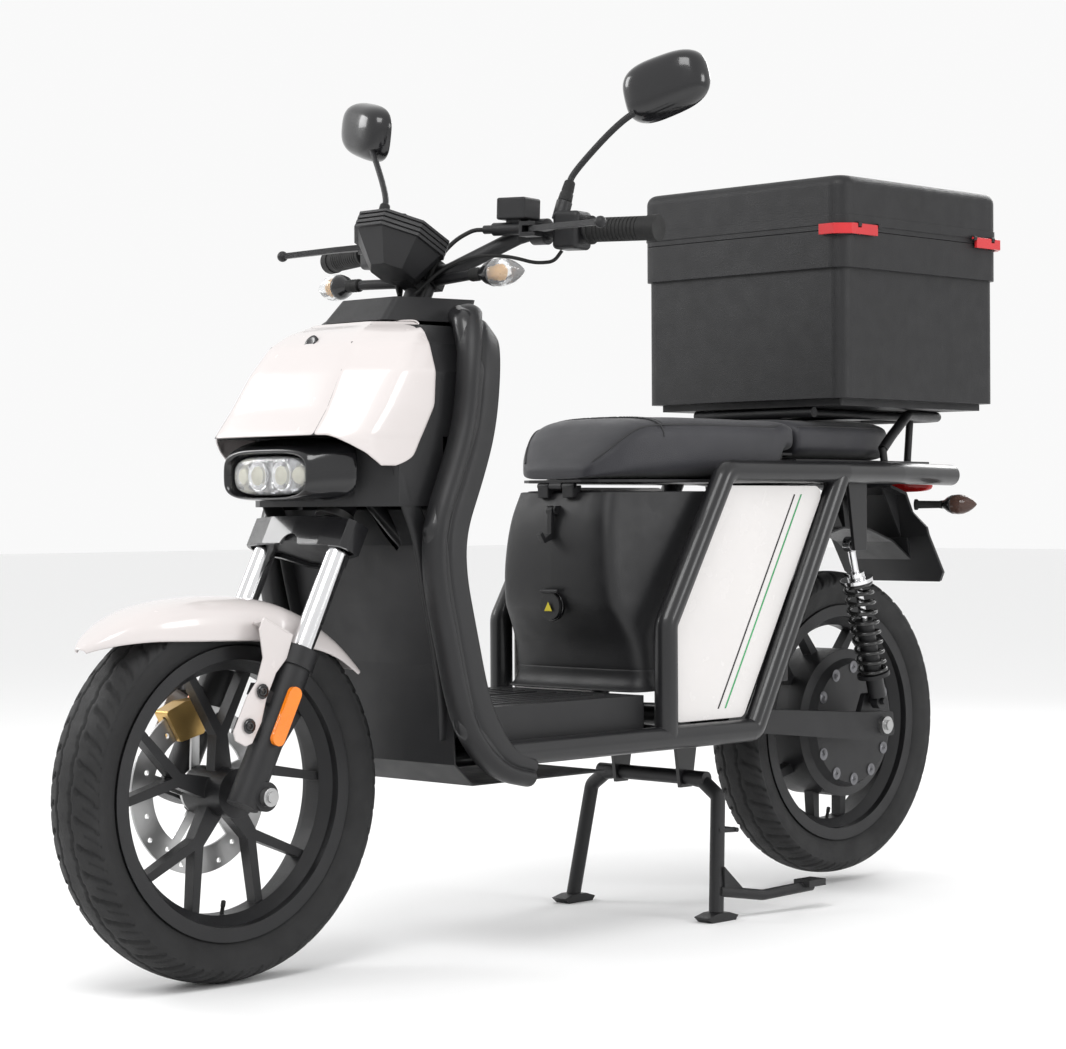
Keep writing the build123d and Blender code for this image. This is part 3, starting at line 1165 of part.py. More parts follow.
def seat_plan(margin):
    plan = [(-12, 0), (-12, 56), (-24, 78), (-62, 104), (-200, SEAT_HALF - 4), (-340, SEAT_HALF), (SEAT_REAR_X, 118),
            (SEAT_REAR_X, 0)]
    return mirrored([(x - margin if x > -100 else x + margin, max(y - margin, 0)) for x, y in plan])


def seat():
    """Foam cushion with its cover."""
    low = SEAT_PAN_Z + SEAT_PAN_THICK + SNUG
    profile = [(-12, low), (-14, 666), (-74, 732), (-96, SEAT_TOP_Z - 2), (-300, SEAT_TOP_Z), (SEAT_REAR_X, SEAT_TOP_Z),
               (SEAT_REAR_X, 692), (-386, 692), (-366, low)]
    return side_plate(profile, -SEAT_HALF, SEAT_HALF) & extrude(outline(seat_plan(0)), 1000)


def seat_pan():
    """Moulded seat base with the hinge leaf, barrel and pin at its front edge."""
    hinge_x, hinge_z = SEAT_HINGE
    low, high = SEAT_PAN_Z, SEAT_PAN_Z + SEAT_PAN_THICK
    profile = [(-12, low), (-12, high), (-366 - SNUG, high), (-386 - SNUG, 692 - SNUG), (SEAT_REAR_X, 692 - SNUG),
               (SEAT_REAR_X, 688), (-390, 688), (-370, low)]
    pan = side_plate(profile, -SEAT_HALF, SEAT_HALF) & extrude(outline(seat_plan(3)), 1000)
    leaf = block(hinge_x - 24, hinge_x + 4, -12, 12, hinge_z, low + 1)
    barrel = rod((hinge_x, -12, hinge_z), (hinge_x, 12, hinge_z), 5)
    pin = rod((hinge_x, -36, hinge_z), (hinge_x, 36, hinge_z), SEAT_PIN_R)
    return join(pan, leaf, barrel, pin)


# ---------------------------------------------------------------- centre stand
SPRING_LUG = (-250.0, 130.0)
SPRING_ANCHOR = (-222.0, 263.0)


def centre_stand():
    foot_x, foot_y = STAND_FOOT_X, STAND_FOOT_Y
    cross = rod((STAND_X, 0, STAND_Z), (STAND_X, 108, STAND_Z), STAND_TUBE_R)
    cross -= block(STAND_X - 20, STAND_X + 20, STAND_LUG_Y - 1.5, STAND_LUG_Y + 7.5, STAND_Z - 20, STAND_Z + 20)
    pin = rod((STAND_X, 0, STAND_Z), (STAND_X, 108, STAND_Z), 6)
    leg = pipe([(STAND_X - 2, 96, STAND_Z - 2), (STAND_X - 2, 128, STAND_Z - 24), (foot_x, foot_y, 12)], STAND_TUBE_R, 14)
    knee = rod((STAND_X, 60 + 12, STAND_Z), (STAND_X - 2, 100, STAND_Z - 4), STAND_TUBE_R)
    shoe = side_plate([(foot_x - 28, 0), (foot_x + 24, 0), (foot_x + 34, 8), (foot_x + 12, 13), (foot_x - 14, 13),
                       (foot_x - 34, 7)], foot_y - 14, foot_y + 14)
    half = join(cross, pin, leg, shoe, knee)
    body = join(half, flip(half))
    tang = pipe([(foot_x - 2, foot_y + 4, 44), (foot_x - 90, foot_y + 14, 30), (foot_x - 186, foot_y + 30, 36)], 8, 40)
    pad = block(foot_x - 204, foot_x - 164, foot_y + 14, foot_y + 44, 36, 46)
    web = side_plate([(foot_x - 8, 80), (foot_x - 8, 40), (foot_x - 64, 32)], foot_y + 6, foot_y + 10)
    lug = rod((SPRING_LUG[0], 118, SPRING_LUG[1]), (SPRING_LUG[0], 146, SPRING_LUG[1]), 3.5)
    strut = rod((SPRING_LUG[0], 140, SPRING_LUG[1]), (STAND_X + 12, 140, SPRING_LUG[1] + 2), 4)
    return join(body, tang, pad, web, lug, strut)


# ---------------------------------------------------------------- export
NODES = [main_frame, head_bearings, leg_shield, front_cowl, front_panel, headlight_housing, headlight_lens,
         belly_cover, floorboard, seat_base, side_panels, tail_cover, rear_lamps, rear_mudguard, luggage_rack,
         pillion_pad, box_body, battery_packs, motor_controller]
NODES += [steering_stem, bridge_cover, fork_tubes, handlebar, instrument_pod, left_grip, switch_pods,
          master_cylinders, brake_hoses, front_signals, throttle_grip, brake_lever_left, brake_lever_right,
          mirror_left, mirror_right, horn_button, turn_switch, start_button]
NODES += [fork_legs, front_axle, front_mudguard, front_caliper, side_reflectors]
NODES += [swingarm, rear_axle, shock_shafts, shock_dampers, shock_springs]
NODES += [seat, seat_pan, box_lid, latch_front, latch_rear, centre_stand, bag_hook, port_flap]
WHEELS = [(front_rim, FRONT_X, TYRE_R), (brake_disc, FRONT_X, TYRE_R), (rear_rim, REAR_X, REAR_Z)]
TYRES = [("front_tyre", FRONT_X, TYRE_R), ("rear_tyre", REAR_X, REAR_Z)]

# The working numbers are about a line midway between the front tyre and the box latches.  The rear
# tyre reaches farther back, so everything moves ahead to bring the origin under the overall middle.
TO_MIDDLE = Pos(WHEELBASE / 2 + TYRE_R - HALF_LENGTH, 0, 0)

for node in NODES:
    export_step(TO_MIDDLE * node(), f"parts/{node.__name__}.step")
for node, x, z in WHEELS:
    export_step(TO_MIDDLE * Pos(x, 0, z) * node(), f"parts/{node.__name__}.step")
for name, x, z in TYRES:
    export_step(TO_MIDDLE * Pos(x, 0, z) * tyre(), f"parts/{name}.step")
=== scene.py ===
"""Looks of the moped scooter: materials, soft parts, tyre tread, lamps, trim and the studio."""
import json
from math import cos, pi, radians, sin

import bmesh
import bpy
from mathutils import Matrix, Vector


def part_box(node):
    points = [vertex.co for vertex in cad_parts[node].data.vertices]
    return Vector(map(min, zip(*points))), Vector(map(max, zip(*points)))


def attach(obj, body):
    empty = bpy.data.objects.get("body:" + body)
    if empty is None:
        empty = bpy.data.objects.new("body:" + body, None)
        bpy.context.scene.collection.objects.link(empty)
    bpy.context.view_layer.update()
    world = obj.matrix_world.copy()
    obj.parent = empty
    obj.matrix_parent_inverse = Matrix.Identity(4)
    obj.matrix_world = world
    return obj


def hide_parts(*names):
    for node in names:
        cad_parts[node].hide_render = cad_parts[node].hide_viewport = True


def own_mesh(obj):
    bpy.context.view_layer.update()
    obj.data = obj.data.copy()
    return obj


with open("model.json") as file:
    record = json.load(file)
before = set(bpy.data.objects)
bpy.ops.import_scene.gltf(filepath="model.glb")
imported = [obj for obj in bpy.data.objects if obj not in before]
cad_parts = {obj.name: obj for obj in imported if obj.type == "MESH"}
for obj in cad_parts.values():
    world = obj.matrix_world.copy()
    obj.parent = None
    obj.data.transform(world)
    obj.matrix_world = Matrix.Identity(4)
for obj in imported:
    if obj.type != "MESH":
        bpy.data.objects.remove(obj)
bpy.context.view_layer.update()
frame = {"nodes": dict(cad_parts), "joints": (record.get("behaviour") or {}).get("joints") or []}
NODES = frame["nodes"]
JOINTS = {joint["name"]: joint for joint in frame["joints"]}
MM = 0.001
# The scene counts x from this far ahead of the frame's origin, in mm.
MIDDLE = 17.5
SIDES = ((1, "left"), (-1, "right"))

# The steering frame: local x ahead, y left, z up along the steering axis.
STEER_AXIS = Vector(JOINTS["steering_turn"]["axis"]).normalized()
STEER_AHEAD = Vector((STEER_AXIS.z, 0, -STEER_AXIS.x))
STEER_SPOT = Vector(JOINTS["steering_turn"]["pos_m"])
FRONT_HUB = Vector(JOINTS["front_wheel_spin"]["pos_m"])
REAR_HUB = Vector(JOINTS["rear_wheel_spin"]["pos_m"])


def mm(x, y, z):
    """A point in millimetres, with x counted from MIDDLE ahead of the origin."""
    return Vector((x + MIDDLE, y, z)) * MM


def steer(x, y, z):
    """A point given in millimetres of the steering frame."""
    return STEER_SPOT + (STEER_AHEAD * x + Vector((0, y, 0)) + STEER_AXIS * z) * MM



def on_side(point, side):
    """A point of the left side, or its mirror image on the right."""
    return Vector((point.x, side * point.y, point.z))


# ---------------------------------------------------------------- materials
def shader_node(tree, kind, **values):
    """A shader node with some of its inputs set."""
    made = tree.nodes.new(kind)
    for socket, value in values.items():
        made.inputs[socket.replace("_", " ")].default_value = value
    return made


def mottled(tree, coordinates, scale, low, high, detail=4.0):
    """A noise value between low and high."""
    noise = shader_node(tree, "ShaderNodeTexNoise", Scale=scale, Detail=detail)
    tree.links.new(coordinates.outputs["Object"], noise.inputs["Vector"])
    spread = shader_node(tree, "ShaderNodeMapRange", From_Min=0.3, From_Max=0.7, To_Min=low, To_Max=high)
    tree.links.new(noise.outputs["Fac"], spread.inputs["Value"])
    return spread.outputs["Result"]


def shade(colour, share, extra=0.0):
    """A lighter or darker shade of a colour."""
    return (*[min(value * share + extra, 1) for value in colour], 1)


def colour_mix(tree, factor, second):
    """A node that mixes a second colour into its first by a factor."""
    mix = tree.nodes.new("ShaderNodeMix")
    mix.data_type = "RGBA"
    mix.inputs["B"].default_value = second
    tree.links.new(factor, mix.inputs["Factor"])
    return mix


def worn_and_highlit_colour(tree, coordinates, bevel, colour, variation, edge_wear_and_highlight):
    """A colour that varies in broad patches and is painted lighter along the edges, as edge wear and a
    painted highlight.
    """
    broad = mottled(tree, coordinates, 9.0, 0.0, 1.0)
    tint = colour_mix(tree, broad, shade(colour, 1 + variation))
    tint.inputs["A"].default_value = shade(colour, 1 - variation)
    flat = tree.nodes.new("ShaderNodeNewGeometry")
    dot = tree.nodes.new("ShaderNodeVectorMath")
    dot.operation = "DOT_PRODUCT"
    tree.links.new(bevel.outputs["Normal"], dot.inputs[0])
    tree.links.new(flat.outputs["Normal"], dot.inputs[1])
    # Painted highlight and edge wear: a mask that grows where the rounded-edge normal turns away from the
    # true surface normal.
    edges = shader_node(tree, "ShaderNodeMapRange", From_Min=0.97, From_Max=0.75, To_Max=edge_wear_and_highlight)
    tree.links.new(dot.outputs["Value"], edges.inputs["Value"])
    # The lighter edge colour mixed in by that mask is part edge wear, part painted highlight.
    worn_and_highlit_edges = colour_mix(tree, edges.outputs["Result"], shade(colour, 1.6, 0.05))
    tree.links.new(tint.outputs["Result"], worn_and_highlit_edges.inputs["A"])
    return worn_and_highlit_edges.outputs["Result"]


def grain_normal(tree, coordinates, bevel, grain, grain_scale, cells):
    """A surface direction with rounded edges and a fine grain of cells or noise."""
    bump = shader_node(tree, "ShaderNodeBump", Strength=min(grain * 2, 1), Distance=0.0003)
    if cells:
        grains = shader_node(tree, "ShaderNodeTexVoronoi", Scale=grain_scale)
        tree.links.new(coordinates.outputs["Object"], grains.inputs["Vector"])
        tree.links.new(grains.outputs["Distance"], bump.inputs["Height"])
    else:
        tree.links.new(mottled(tree, coordinates, grain_scale, 0, 1, 2.0), bump.inputs["Height"])
    tree.links.new(bevel.outputs["Normal"], bump.inputs["Normal"])
    return bump.outputs["Normal"]


def material(name, colour, rough, metal=0.0, grain=0.0, grain_scale=900.0, cells=False, variation=0.12,
             edge=0.0012, edge_wear_and_highlight=0.25, **sockets):
    """A procedural finish: varied colour and roughness, fine grain, rounded edges, and edges painted lighter
    as slight wear and a painted highlight.
    """
    made = bpy.data.materials.new(name)
    made.use_nodes = True
    made.diffuse_color = (*colour, 1)
    tree = made.node_tree
    shader = tree.nodes["Principled BSDF"]
    coordinates = tree.nodes.new("ShaderNodeTexCoord")
    bevel = shader_node(tree, "ShaderNodeBevel", Radius=edge)
    bevel.samples = 3
    paint = worn_and_highlit_colour(tree, coordinates, bevel, colour, variation, edge_wear_and_highlight)
    tree.links.new(paint, shader.inputs["Base Color"])
    roughness = mottled(tree, coordinates, 35.0, rough * 0.85, min(rough * 1.15, 1))
    tree.links.new(roughness, shader.inputs["Roughness"])
    shader.inputs["Metallic"].default_value = metal
    if not metal:
        shader.inputs["Specular IOR Level"].default_value = 0.35
    for socket, value in sockets.items():
        shader.inputs[socket.replace("_", " ")].default_value = value
    normal = grain_normal(tree, coordinates, bevel, grain, grain_scale, cells)
    tree.links.new(normal, shader.inputs["Normal"])
    return made


FINISH = {
    "plastic": material("satin_black_plastic", (0.0135, 0.0135, 0.0145), 0.4, grain=0.25, cells=True,
                        grain_scale=1400.0),
    "box": material("textured_black_plastic", (0.010, 0.010, 0.011), 0.46, grain=0.4, cells=True,
                    grain_scale=900.0),
    "gloss": material("gloss_black_plastic", (0.008, 0.008, 0.009), 0.2, grain=0.02, Coat_Weight=0.4),
    "frame": material("satin_black_paint", (0.011, 0.011, 0.012), 0.33, grain=0.06, edge=0.002,
                      Coat_Weight=0.25),
    "metal": material("black_powder_coat", (0.010, 0.010, 0.011), 0.38, grain=0.2, grain_scale=2500.0),
    "white": material("warm_white_paint", (0.60, 0.56, 0.55), 0.24, grain=0.01, variation=0.015, edge_wear_and_highlight=0.05,
                      edge=0.002, Coat_Weight=0.7, Coat_Roughness=0.08),
    "panel": material("white_gloss_panel", (0.68, 0.66, 0.65), 0.25, grain=0.01, variation=0.015, edge_wear_and_highlight=0.05,
                      Coat_Weight=0.5),
    "chrome": material("hard_chrome", (0.75, 0.75, 0.76), 0.14, metal=1.0, grain=0.02, variation=0.04,
                       edge_wear_and_highlight=0.0),
    "spring": material("black_spring_paint", (0.012, 0.012, 0.012), 0.25, grain=0.05, Coat_Weight=0.4),
    "dark_steel": material("blackened_steel", (0.16, 0.16, 0.17), 0.35, metal=1.0, grain=0.2),
    "steel": material("brushed_steel", (0.46, 0.46, 0.46), 0.34, metal=1.0, grain=0.15, variation=0.15),
    "tyre": material("tyre_rubber", (0.013, 0.013, 0.0135), 0.6, grain=0.4, grain_scale=1800.0,
                     variation=0.25, edge=0.0006),
    "rubber": material("soft_rubber", (0.009, 0.009, 0.009), 0.65, grain=0.3, grain_scale=2200.0),
    "vinyl": material("charcoal_vinyl", (0.026, 0.026, 0.031), 0.45, grain=0.6, cells=True, grain_scale=750.0,
                      variation=0.1, edge=0.0005, Sheen_Weight=0.15),
    "thread": material("dark_thread", (0.05, 0.05, 0.052), 0.8, grain=0.5, grain_scale=3000.0),
    "orange": material("amber_reflector", (0.9, 0.22, 0.01), 0.18, grain=0.8, cells=True, grain_scale=420.0,
                       variation=0.2, Coat_Weight=0.6),
    "red": material("red_plastic", (0.5, 0.02, 0.025), 0.28, grain=0.05, Coat_Weight=0.3),
    "gold": material("gold_anodised", (0.55, 0.36, 0.13), 0.35, metal=0.9, grain=0.2),
    "green": material("green_stripe", (0.05, 0.33, 0.12), 0.4, grain=0.02),
    "yellow": material("yellow_mark", (0.75, 0.62, 0.03), 0.5, grain=0.1),
    "mirror": material("silvered_glass", (0.85, 0.87, 0.88), 0.03, metal=1.0, variation=0.02, edge_wear_and_highlight=0.0),
    "led": material("led_emitter", (0.85, 0.82, 0.66), 0.3, grain=0.1, variation=0.1),
    "amber": material("amber_bulb", (0.75, 0.42, 0.12), 0.3, grain=0.1, Transmission_Weight=0.3, IOR=1.45),
    "clear": material("clear_lens", (0.93, 0.94, 0.95), 0.06, grain=0.5, cells=True, grain_scale=220.0,
                      variation=0.03, edge_wear_and_highlight=0.0, Transmission_Weight=0.85, IOR=1.45),
    "smoke": material("smoked_lens", (0.10, 0.06, 0.05), 0.1, grain=0.5, cells=True, grain_scale=220.0,
                      edge_wear_and_highlight=0.0, Transmission_Weight=0.35, IOR=1.45),
    "lamp_red": material("red_lens", (0.45, 0.01, 0.01), 0.1, grain=0.5, cells=True, grain_scale=240.0,
                         Transmission_Weight=0.2, IOR=1.45),
}

NODE_FINISH = {
    "plastic": "leg_shield front_cowl belly_cover floorboard seat_base tail_cover rear_mudguard switch_pods "
               "instrument_pod turn_switch seat_pan port_flap motor_controller battery_packs",
    "box": "box_body box_lid",
    "gloss": "headlight_housing bridge_cover mirror_left mirror_right",
    "frame": "main_frame",
    "metal": "luggage_rack steering_stem handlebar master_cylinders fork_legs front_rim rear_rim swingarm "
             "shock_dampers centre_stand bag_hook brake_lever_left brake_lever_right",
    "panel": "side_panels",
    "white": "front_panel front_mudguard",
    "chrome": "fork_tubes shock_shafts",
    "spring": "shock_springs",
    "steel": "head_bearings front_axle rear_axle brake_disc",
    "tyre": "front_tyre rear_tyre",
    "rubber": "left_grip throttle_grip brake_hoses",
    "vinyl": "seat pillion_pad",
    "orange": "side_reflectors",
    "red": "latch_front latch_rear horn_button start_button",
    "gold": "front_caliper",
    "clear": "headlight_lens front_signals",
    "smoke": "rear_lamps",
}


def finish_nodes():
    """Give every CAD piece its finish."""
    for finish, names in NODE_FINISH.items():
        for name in names.split():
            mesh = NODES[name].data
            mesh.materials.clear()
            mesh.materials.append(FINISH[finish])


# ---------------------------------------------------------------- mesh helpers
def piece(name, verts, faces, finish, body, smooth=True):
    """A mesh object with a finish, riding on a body."""
    mesh = bpy.data.meshes.new(name)
    mesh.from_pydata([tuple(vert) for vert in verts], [], faces)
    mesh.materials.append(FINISH[finish])
    made = bpy.data.objects.new(name, mesh)
    bpy.context.scene.collection.objects.link(made)
    tidy = bmesh.new()
    tidy.from_mesh(mesh)
    bmesh.ops.recalc_face_normals(tidy, faces=tidy.faces)
    tidy.to_mesh(mesh)
    tidy.free()
    for face in mesh.polygons:
        face.use_smooth = smooth
    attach(made, body)
    return made


def modify(made, kind, **settings):
    """Add a modifier to a piece."""
    modifier = made.modifiers.new(kind.lower(), kind)
    for key, value in settings.items():
        setattr(modifier, key, value)


def slab(name, near, far, finish, body, bevel, segments):
    """A flat-sided plate between two outlines, with its edges bevelled."""
    count = len(near)
    faces = [tuple(range(count)), tuple(range(count, 2 * count))]
    for k in range(count):
        after = (k + 1) % count
        faces.append((k, after, count + after, count + k))
    made = piece(name, near + far, faces, finish, body, False)
    modify(made, "BEVEL", width=bevel, segments=segments)

def skin(name, rings, finish, body, closed=True, caps=True):
    """A surface through rings of equal point counts."""
    count = len(rings[0])
    verts = [point for ring in rings for point in ring]
    faces = []
    span = count if closed else count - 1
    for row in range(len(rings) - 1):
        for column in range(span):
            after = (column + 1) % count
            faces.append((row * count + column, row * count + after, (row + 1) * count + after,
                          (row + 1) * count + column))
    if caps and closed:
        faces.append(tuple(range(count)))
        faces.append(tuple((len(rings) - 1) * count + column for column in range(count)))
    return piece(name, verts, faces, finish, body)


def frame_at(axis):
    """Two directions across an axis."""
    axis = axis.normalized()
    side = axis.cross(Vector((0, 0, 1)))
    if side.length < 0.01:
        side = Vector((0, 1, 0))
    side.normalize()
    return side, axis.cross(side).normalized()


def turned(name, spot, axis, profile, finish, body, steps=32):
    """A turned piece from (distance along the axis, radius) pairs in millimetres."""
    side, up = frame_at(axis)
    axis = axis.normalized()
    rings = []
    for along, radius in profile:
        ring = []
        for k in range(steps):
            out = side * cos(2 * pi * k / steps) + up * sin(2 * pi * k / steps)
            ring.append(spot + axis * along * MM + out * max(radius, 0.01) * MM)
        rings.append(ring)
    return skin(name, rings, finish, body)


def tube(name, points, radius, finish, body, resolution=6):
    """A round line on a smooth curve through the route."""
    curve = bpy.data.curves.new(name, "CURVE")
    curve.dimensions = "3D"
    curve.bevel_depth = radius * MM
    curve.bevel_resolution = 4
    curve.resolution_u = resolution
    spline = curve.splines.new("NURBS")
    spline.points.add(len(points) - 1)
    for spot, point in zip(spline.points, points):
        spot.co = (*point, 1)
    spline.order_u = 3
    spline.use_endpoint_u = True
    curve.use_fill_caps = True
    curve.materials.append(FINISH[finish])
    made = bpy.data.objects.new(name, curve)
    bpy.context.scene.collection.objects.link(made)
    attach(made, body)
    return made


def hex_bolt_mesh(verts, faces, spot, axis, radius):
    """One socket-head bolt added to a mesh that is being built."""
    side, up = frame_at(axis)
    axis = axis.normalized()
    profile = [(0, radius), (radius * 0.75, radius), (radius * 0.95, radius * 0.85),
               (radius * 0.95, radius * 0.55), (radius * 0.45, radius * 0.5), (radius * 0.45, 0.01)]
    steps = 12
    base = len(verts)
    for along, ring in profile:
        for k in range(steps):
            turn = 2 * pi * k / steps
            verts.append(spot + axis * along + (side * cos(turn) + up * sin(turn)) * ring)
    for row in range(len(profile) - 1):
        for k in range(steps):
            after = (k + 1) % steps
            start = base + row * steps
            faces.append((start + k, start + after, start + steps + after, start + steps + k))


def bolts(name, places, radius, finish, body):
    """Bolts at (spot, axis) places as one piece."""
    verts, faces = [], []
    for spot, axis in places:
        hex_bolt_mesh(verts, faces, spot, Vector(axis), radius * MM)
    return piece(name, verts, faces, finish, body)


def blend_points(points, count):
    """Points on a smooth open curve guided by a few control points (quadratic B-spline)."""
    knots = [points[0]] + list(points) + [points[-1]]
    spans = len(knots) - 2
    result = []
    for index in range(count):
        place = index * spans / (count - 1)
        span = min(int(place), spans - 1)
        t = place - span
        a, b, c = knots[span], knots[span + 1], knots[span + 2]
        result.append(a * (0.5 * (1 - t) ** 2) + b * (0.5 * (-2 * t * t + 2 * t + 1)) + c * (0.5 * t * t))
    result[0], result[-1] = points[0].copy(), points[-1].copy()
    return result


def between(table, value):
    """Smooth value from rows of (position, numbers...)."""
    if value <= table[0][0]:
        return table[0][1:]
    for low, high in zip(table, table[1:]):
        if value <= high[0]:
            t = (value - low[0]) / (high[0] - low[0])
            return [a + (b - a) * t for a, b in zip(low[1:], high[1:])]
    return table[-1][1:]


# ---------------------------------------------------------------- tyres
TYRE_R = (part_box("front_tyre")[1].z - FRONT_HUB.z) / MM
TYRE_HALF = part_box("front_tyre")[1].y / MM
CROWN_RISE = 20
BEAD_R = 177.5
FLANGE_R = 190.0
TYRE_STEPS = 528
CROWN_STEPS = 56
TREAD_PITCH = 2 * pi / 44


def tyre_groove(turn, across):
    """Depth in mm of the road pattern: slanted shoulder cuts and two broken zigzag lines."""
    wide = abs(across)
    lean = (turn + wide * 0.16) / TREAD_PITCH
    phase = (lean + (0.5 if across > 0 else 0)) % 1.0
    zigzag = abs(2 * ((turn / TREAD_PITCH) % 1.0) - 1)
    depth = 0.0
    if 0.30 < wide < 0.93 and abs(phase - 0.5) < 0.13 * (1.15 - wide):
        depth = 3.2
    if 0.52 < wide < 0.97 and abs(((lean * 2) % 1.0) - 0.2) < 0.08:
        depth = max(depth, 1.8)
    if abs(wide - 0.16 - 0.05 * zigzag) < 0.022:
        depth = max(depth, 2.6)
    return depth


def tyre_section():
    """The outline as (radius, y, place across the crown or None) in mm, from one bead to the other."""
    side_wall = [(BEAD_R, 31), (FLANGE_R + 1, 32), (FLANGE_R + 4, 36), (FLANGE_R + 12, 40.5),
                 (FLANGE_R + 24, TYRE_HALF - 0.6), (TYRE_R - 24, TYRE_HALF), (TYRE_R - 20.5, TYRE_HALF - 0.2)]
    crown = []
    for index in range(CROWN_STEPS + 1):
        across = 1 - 2 * index / CROWN_STEPS
        y = TYRE_HALF * sin(across * pi / 2)
        r = TYRE_R - CROWN_RISE + CROWN_RISE * cos(across * pi / 2)
        crown.append((r, y, across))
    near = [(r, y, None) for r, y in side_wall]
    far = [(r, -y, None) for r, y in reversed(side_wall)]
    return near + crown + far + [(BEAD_R + 1, -20, None), (BEAD_R + 1, 20, None)]


def tyre_piece(node, hub, body):
    """A tyre with its tread cut in."""
    section = tyre_section()
    rings = []
    for step in range(TYRE_STEPS):
        turn = 2 * pi * step / TYRE_STEPS
        ring = []
        for r, y, across in section:
            depth = tyre_groove(turn, across) if across is not None else 0.0
            radius = (r - depth) * MM
            ring.append(hub + Vector((radius * cos(turn), y * MM, radius * sin(turn))))
        rings.append(ring)
    rings.append(rings[0])
    made = skin("tread_" + node, rings, "tyre", body, caps=False)
    weld = bmesh.new()
    weld.from_mesh(made.data)
    bmesh.ops.remove_doubles(weld, verts=weld.verts, dist=1e-6)
    weld.to_mesh(made.data)
    weld.free()
    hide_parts(node)


def wheel_trim():
    """Valve stems, motor cover screws and brake disc screws."""
    valve = [(-2, 4), (4, 4), (5, 3), (20, 2.6), (21, 3.2), (28, 3.2), (29, 2)]
    for hub, body in ((FRONT_HUB, "front_wheel"), (REAR_HUB, "rear_wheel")):
        spot = hub + Vector((0.0, 0.0, -0.168))
        turned("valve_" + body, spot, Vector((0, 0.25, 1)), valve, "rubber", body, 12)
    places = []
    for index in range(12):
        turn = 2 * pi * index / 12
        for side in (-1, 1):
            spot = REAR_HUB + Vector((0.0905 * cos(turn), side * 0.0578, 0.0905 * sin(turn)))
            places.append((spot, (0, side, 0)))
    bolts("motor_cover_bolts", places, 3.0, "dark_steel", "rear_wheel")
    disc_bolts = []
    for index in range(5):
        turn = 2 * pi * index / 5 + 0.3
        spot = FRONT_HUB + Vector((0.0215 * cos(turn), -0.0449, 0.0215 * sin(turn)))
        disc_bolts.append((spot, (0, -1, 0)))
    bolts("disc_bolts", disc_bolts, 3.4, "steel", "front_wheel")


# ---------------------------------------------------------------- mudguard
GUARD_R = 254
BRACKET_OUTLINE = [(58, -310), (66, -318), (84, -318), (92, -310), (92, -262), (86, -236), (90, -206),
                   (112, -176), (112, -158), (58, -158), (54, -190), (62, -214), (62, -250), (56, -280)]


def guard_profile():
    """(x, z, half width, skirt depth) along the top of the front mudguard, about the hub, in mm."""
    rows = [(221, 193, 10, 8), (204, 207, 30, 16), (176, 225, 44, 30), (135, 242, 53, 44), (80, 251, 56, 54),
            (20, 254, 56, 58), (-46, 249.5, 56, 56)]
    for angle, depth in ((112, 52), (122, 40), (132, 26), (141, 15), (143.5, 12)):
        half = 56 if angle < 140 else 52
        rows.append((GUARD_R * cos(radians(angle)), GUARD_R * sin(radians(angle)), half, depth))
    return [Vector(row) for row in rows]


def guard_ring(rows, index):
    """One hoop of the mudguard."""
    x, z, half, depth = rows[index]
    before = rows[max(index - 1, 0)]
    after = rows[min(index + 1, len(rows) - 1)]
    tangent = Vector((after[0] - before[0], 0, after[1] - before[1])).normalized()
    out = Vector((-tangent.z, 0, tangent.x))
    if out.z < 0:
        out = -out
    ring = []
    for step in range(33):
        turn = (step / 32 * 2 - 1) * pi / 2
        across = abs(sin(turn)) ** 0.72 * (1 if turn > 0 else -1) * half
        drop = (1 - max(cos(turn), 0) ** 0.55) * depth
        ring.append(FRONT_HUB + Vector((x, across, z)) * MM - out * drop * MM)
    return ring


def guard_bracket(side, name):
    """The plate, flange and screws that hold the mudguard to a fork leg."""
    near = [steer(x, side * 78.2, z) for x, z in BRACKET_OUTLINE]
    far = [steer(x, side * 81.0, z) for x, z in BRACKET_OUTLINE]
    slab(f"mudguard_bracket_{name}", near, far, "white", "fork_lower", 0.0009, 2)
    flange = []
    for rise in (0, 0.25, 0.5, 0.75, 1):
        y = side * (52 + 28.5 * rise)
        z = -158 - 6 * (1 - rise)
        flange.append([steer(64 + 42 * along, y, z) for along in (0, 0.33, 0.66, 1)])
    web = skin(f"mudguard_flange_{name}", flange, "white", "fork_lower", False, False)
    modify(web, "SOLIDIFY", thickness=0.003)
    places = [(steer(74, side * 81.0, z), (0, side, 0)) for z in (-245, -293)]
    bolts(f"mudguard_bolts_{name}", places, 6.0, "gloss", "fork_lower")


def front_guard():
    """White front mudguard with its brackets."""
    rows = blend_points(guard_profile(), 44)
    rings = [guard_ring(rows, index) for index in range(len(rows))]
    shell = skin("mudguard_shell", rings, "white", "fork_lower", closed=False, caps=False)
    modify(shell, "SOLIDIFY", thickness=0.0026, offset=-1.0)
    modify(shell, "SUBSURF", levels=1, render_levels=1)
    for side, name in reversed(SIDES):
        guard_bracket(side, name)
    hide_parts("front_mudguard")


# ---------------------------------------------------------------- front panel
PANEL_LOW = 704.5
PANEL_HIGH = 856
LOBE_DROP = 40
PANEL_ROWS = [(700, 541, 101, 147), (704, 540, 100, 150), (740, 513, 98, 150), (790, 483, 92, 148),
              (828, 456, 82, 132), (846, 430, 72, 116), (856, 402, 62, 100), (859, 386, 50, 86)]
EDGE_ROWS = [(664, 412), (745, 366), (830, 358), (850, 352), (859, 352)]


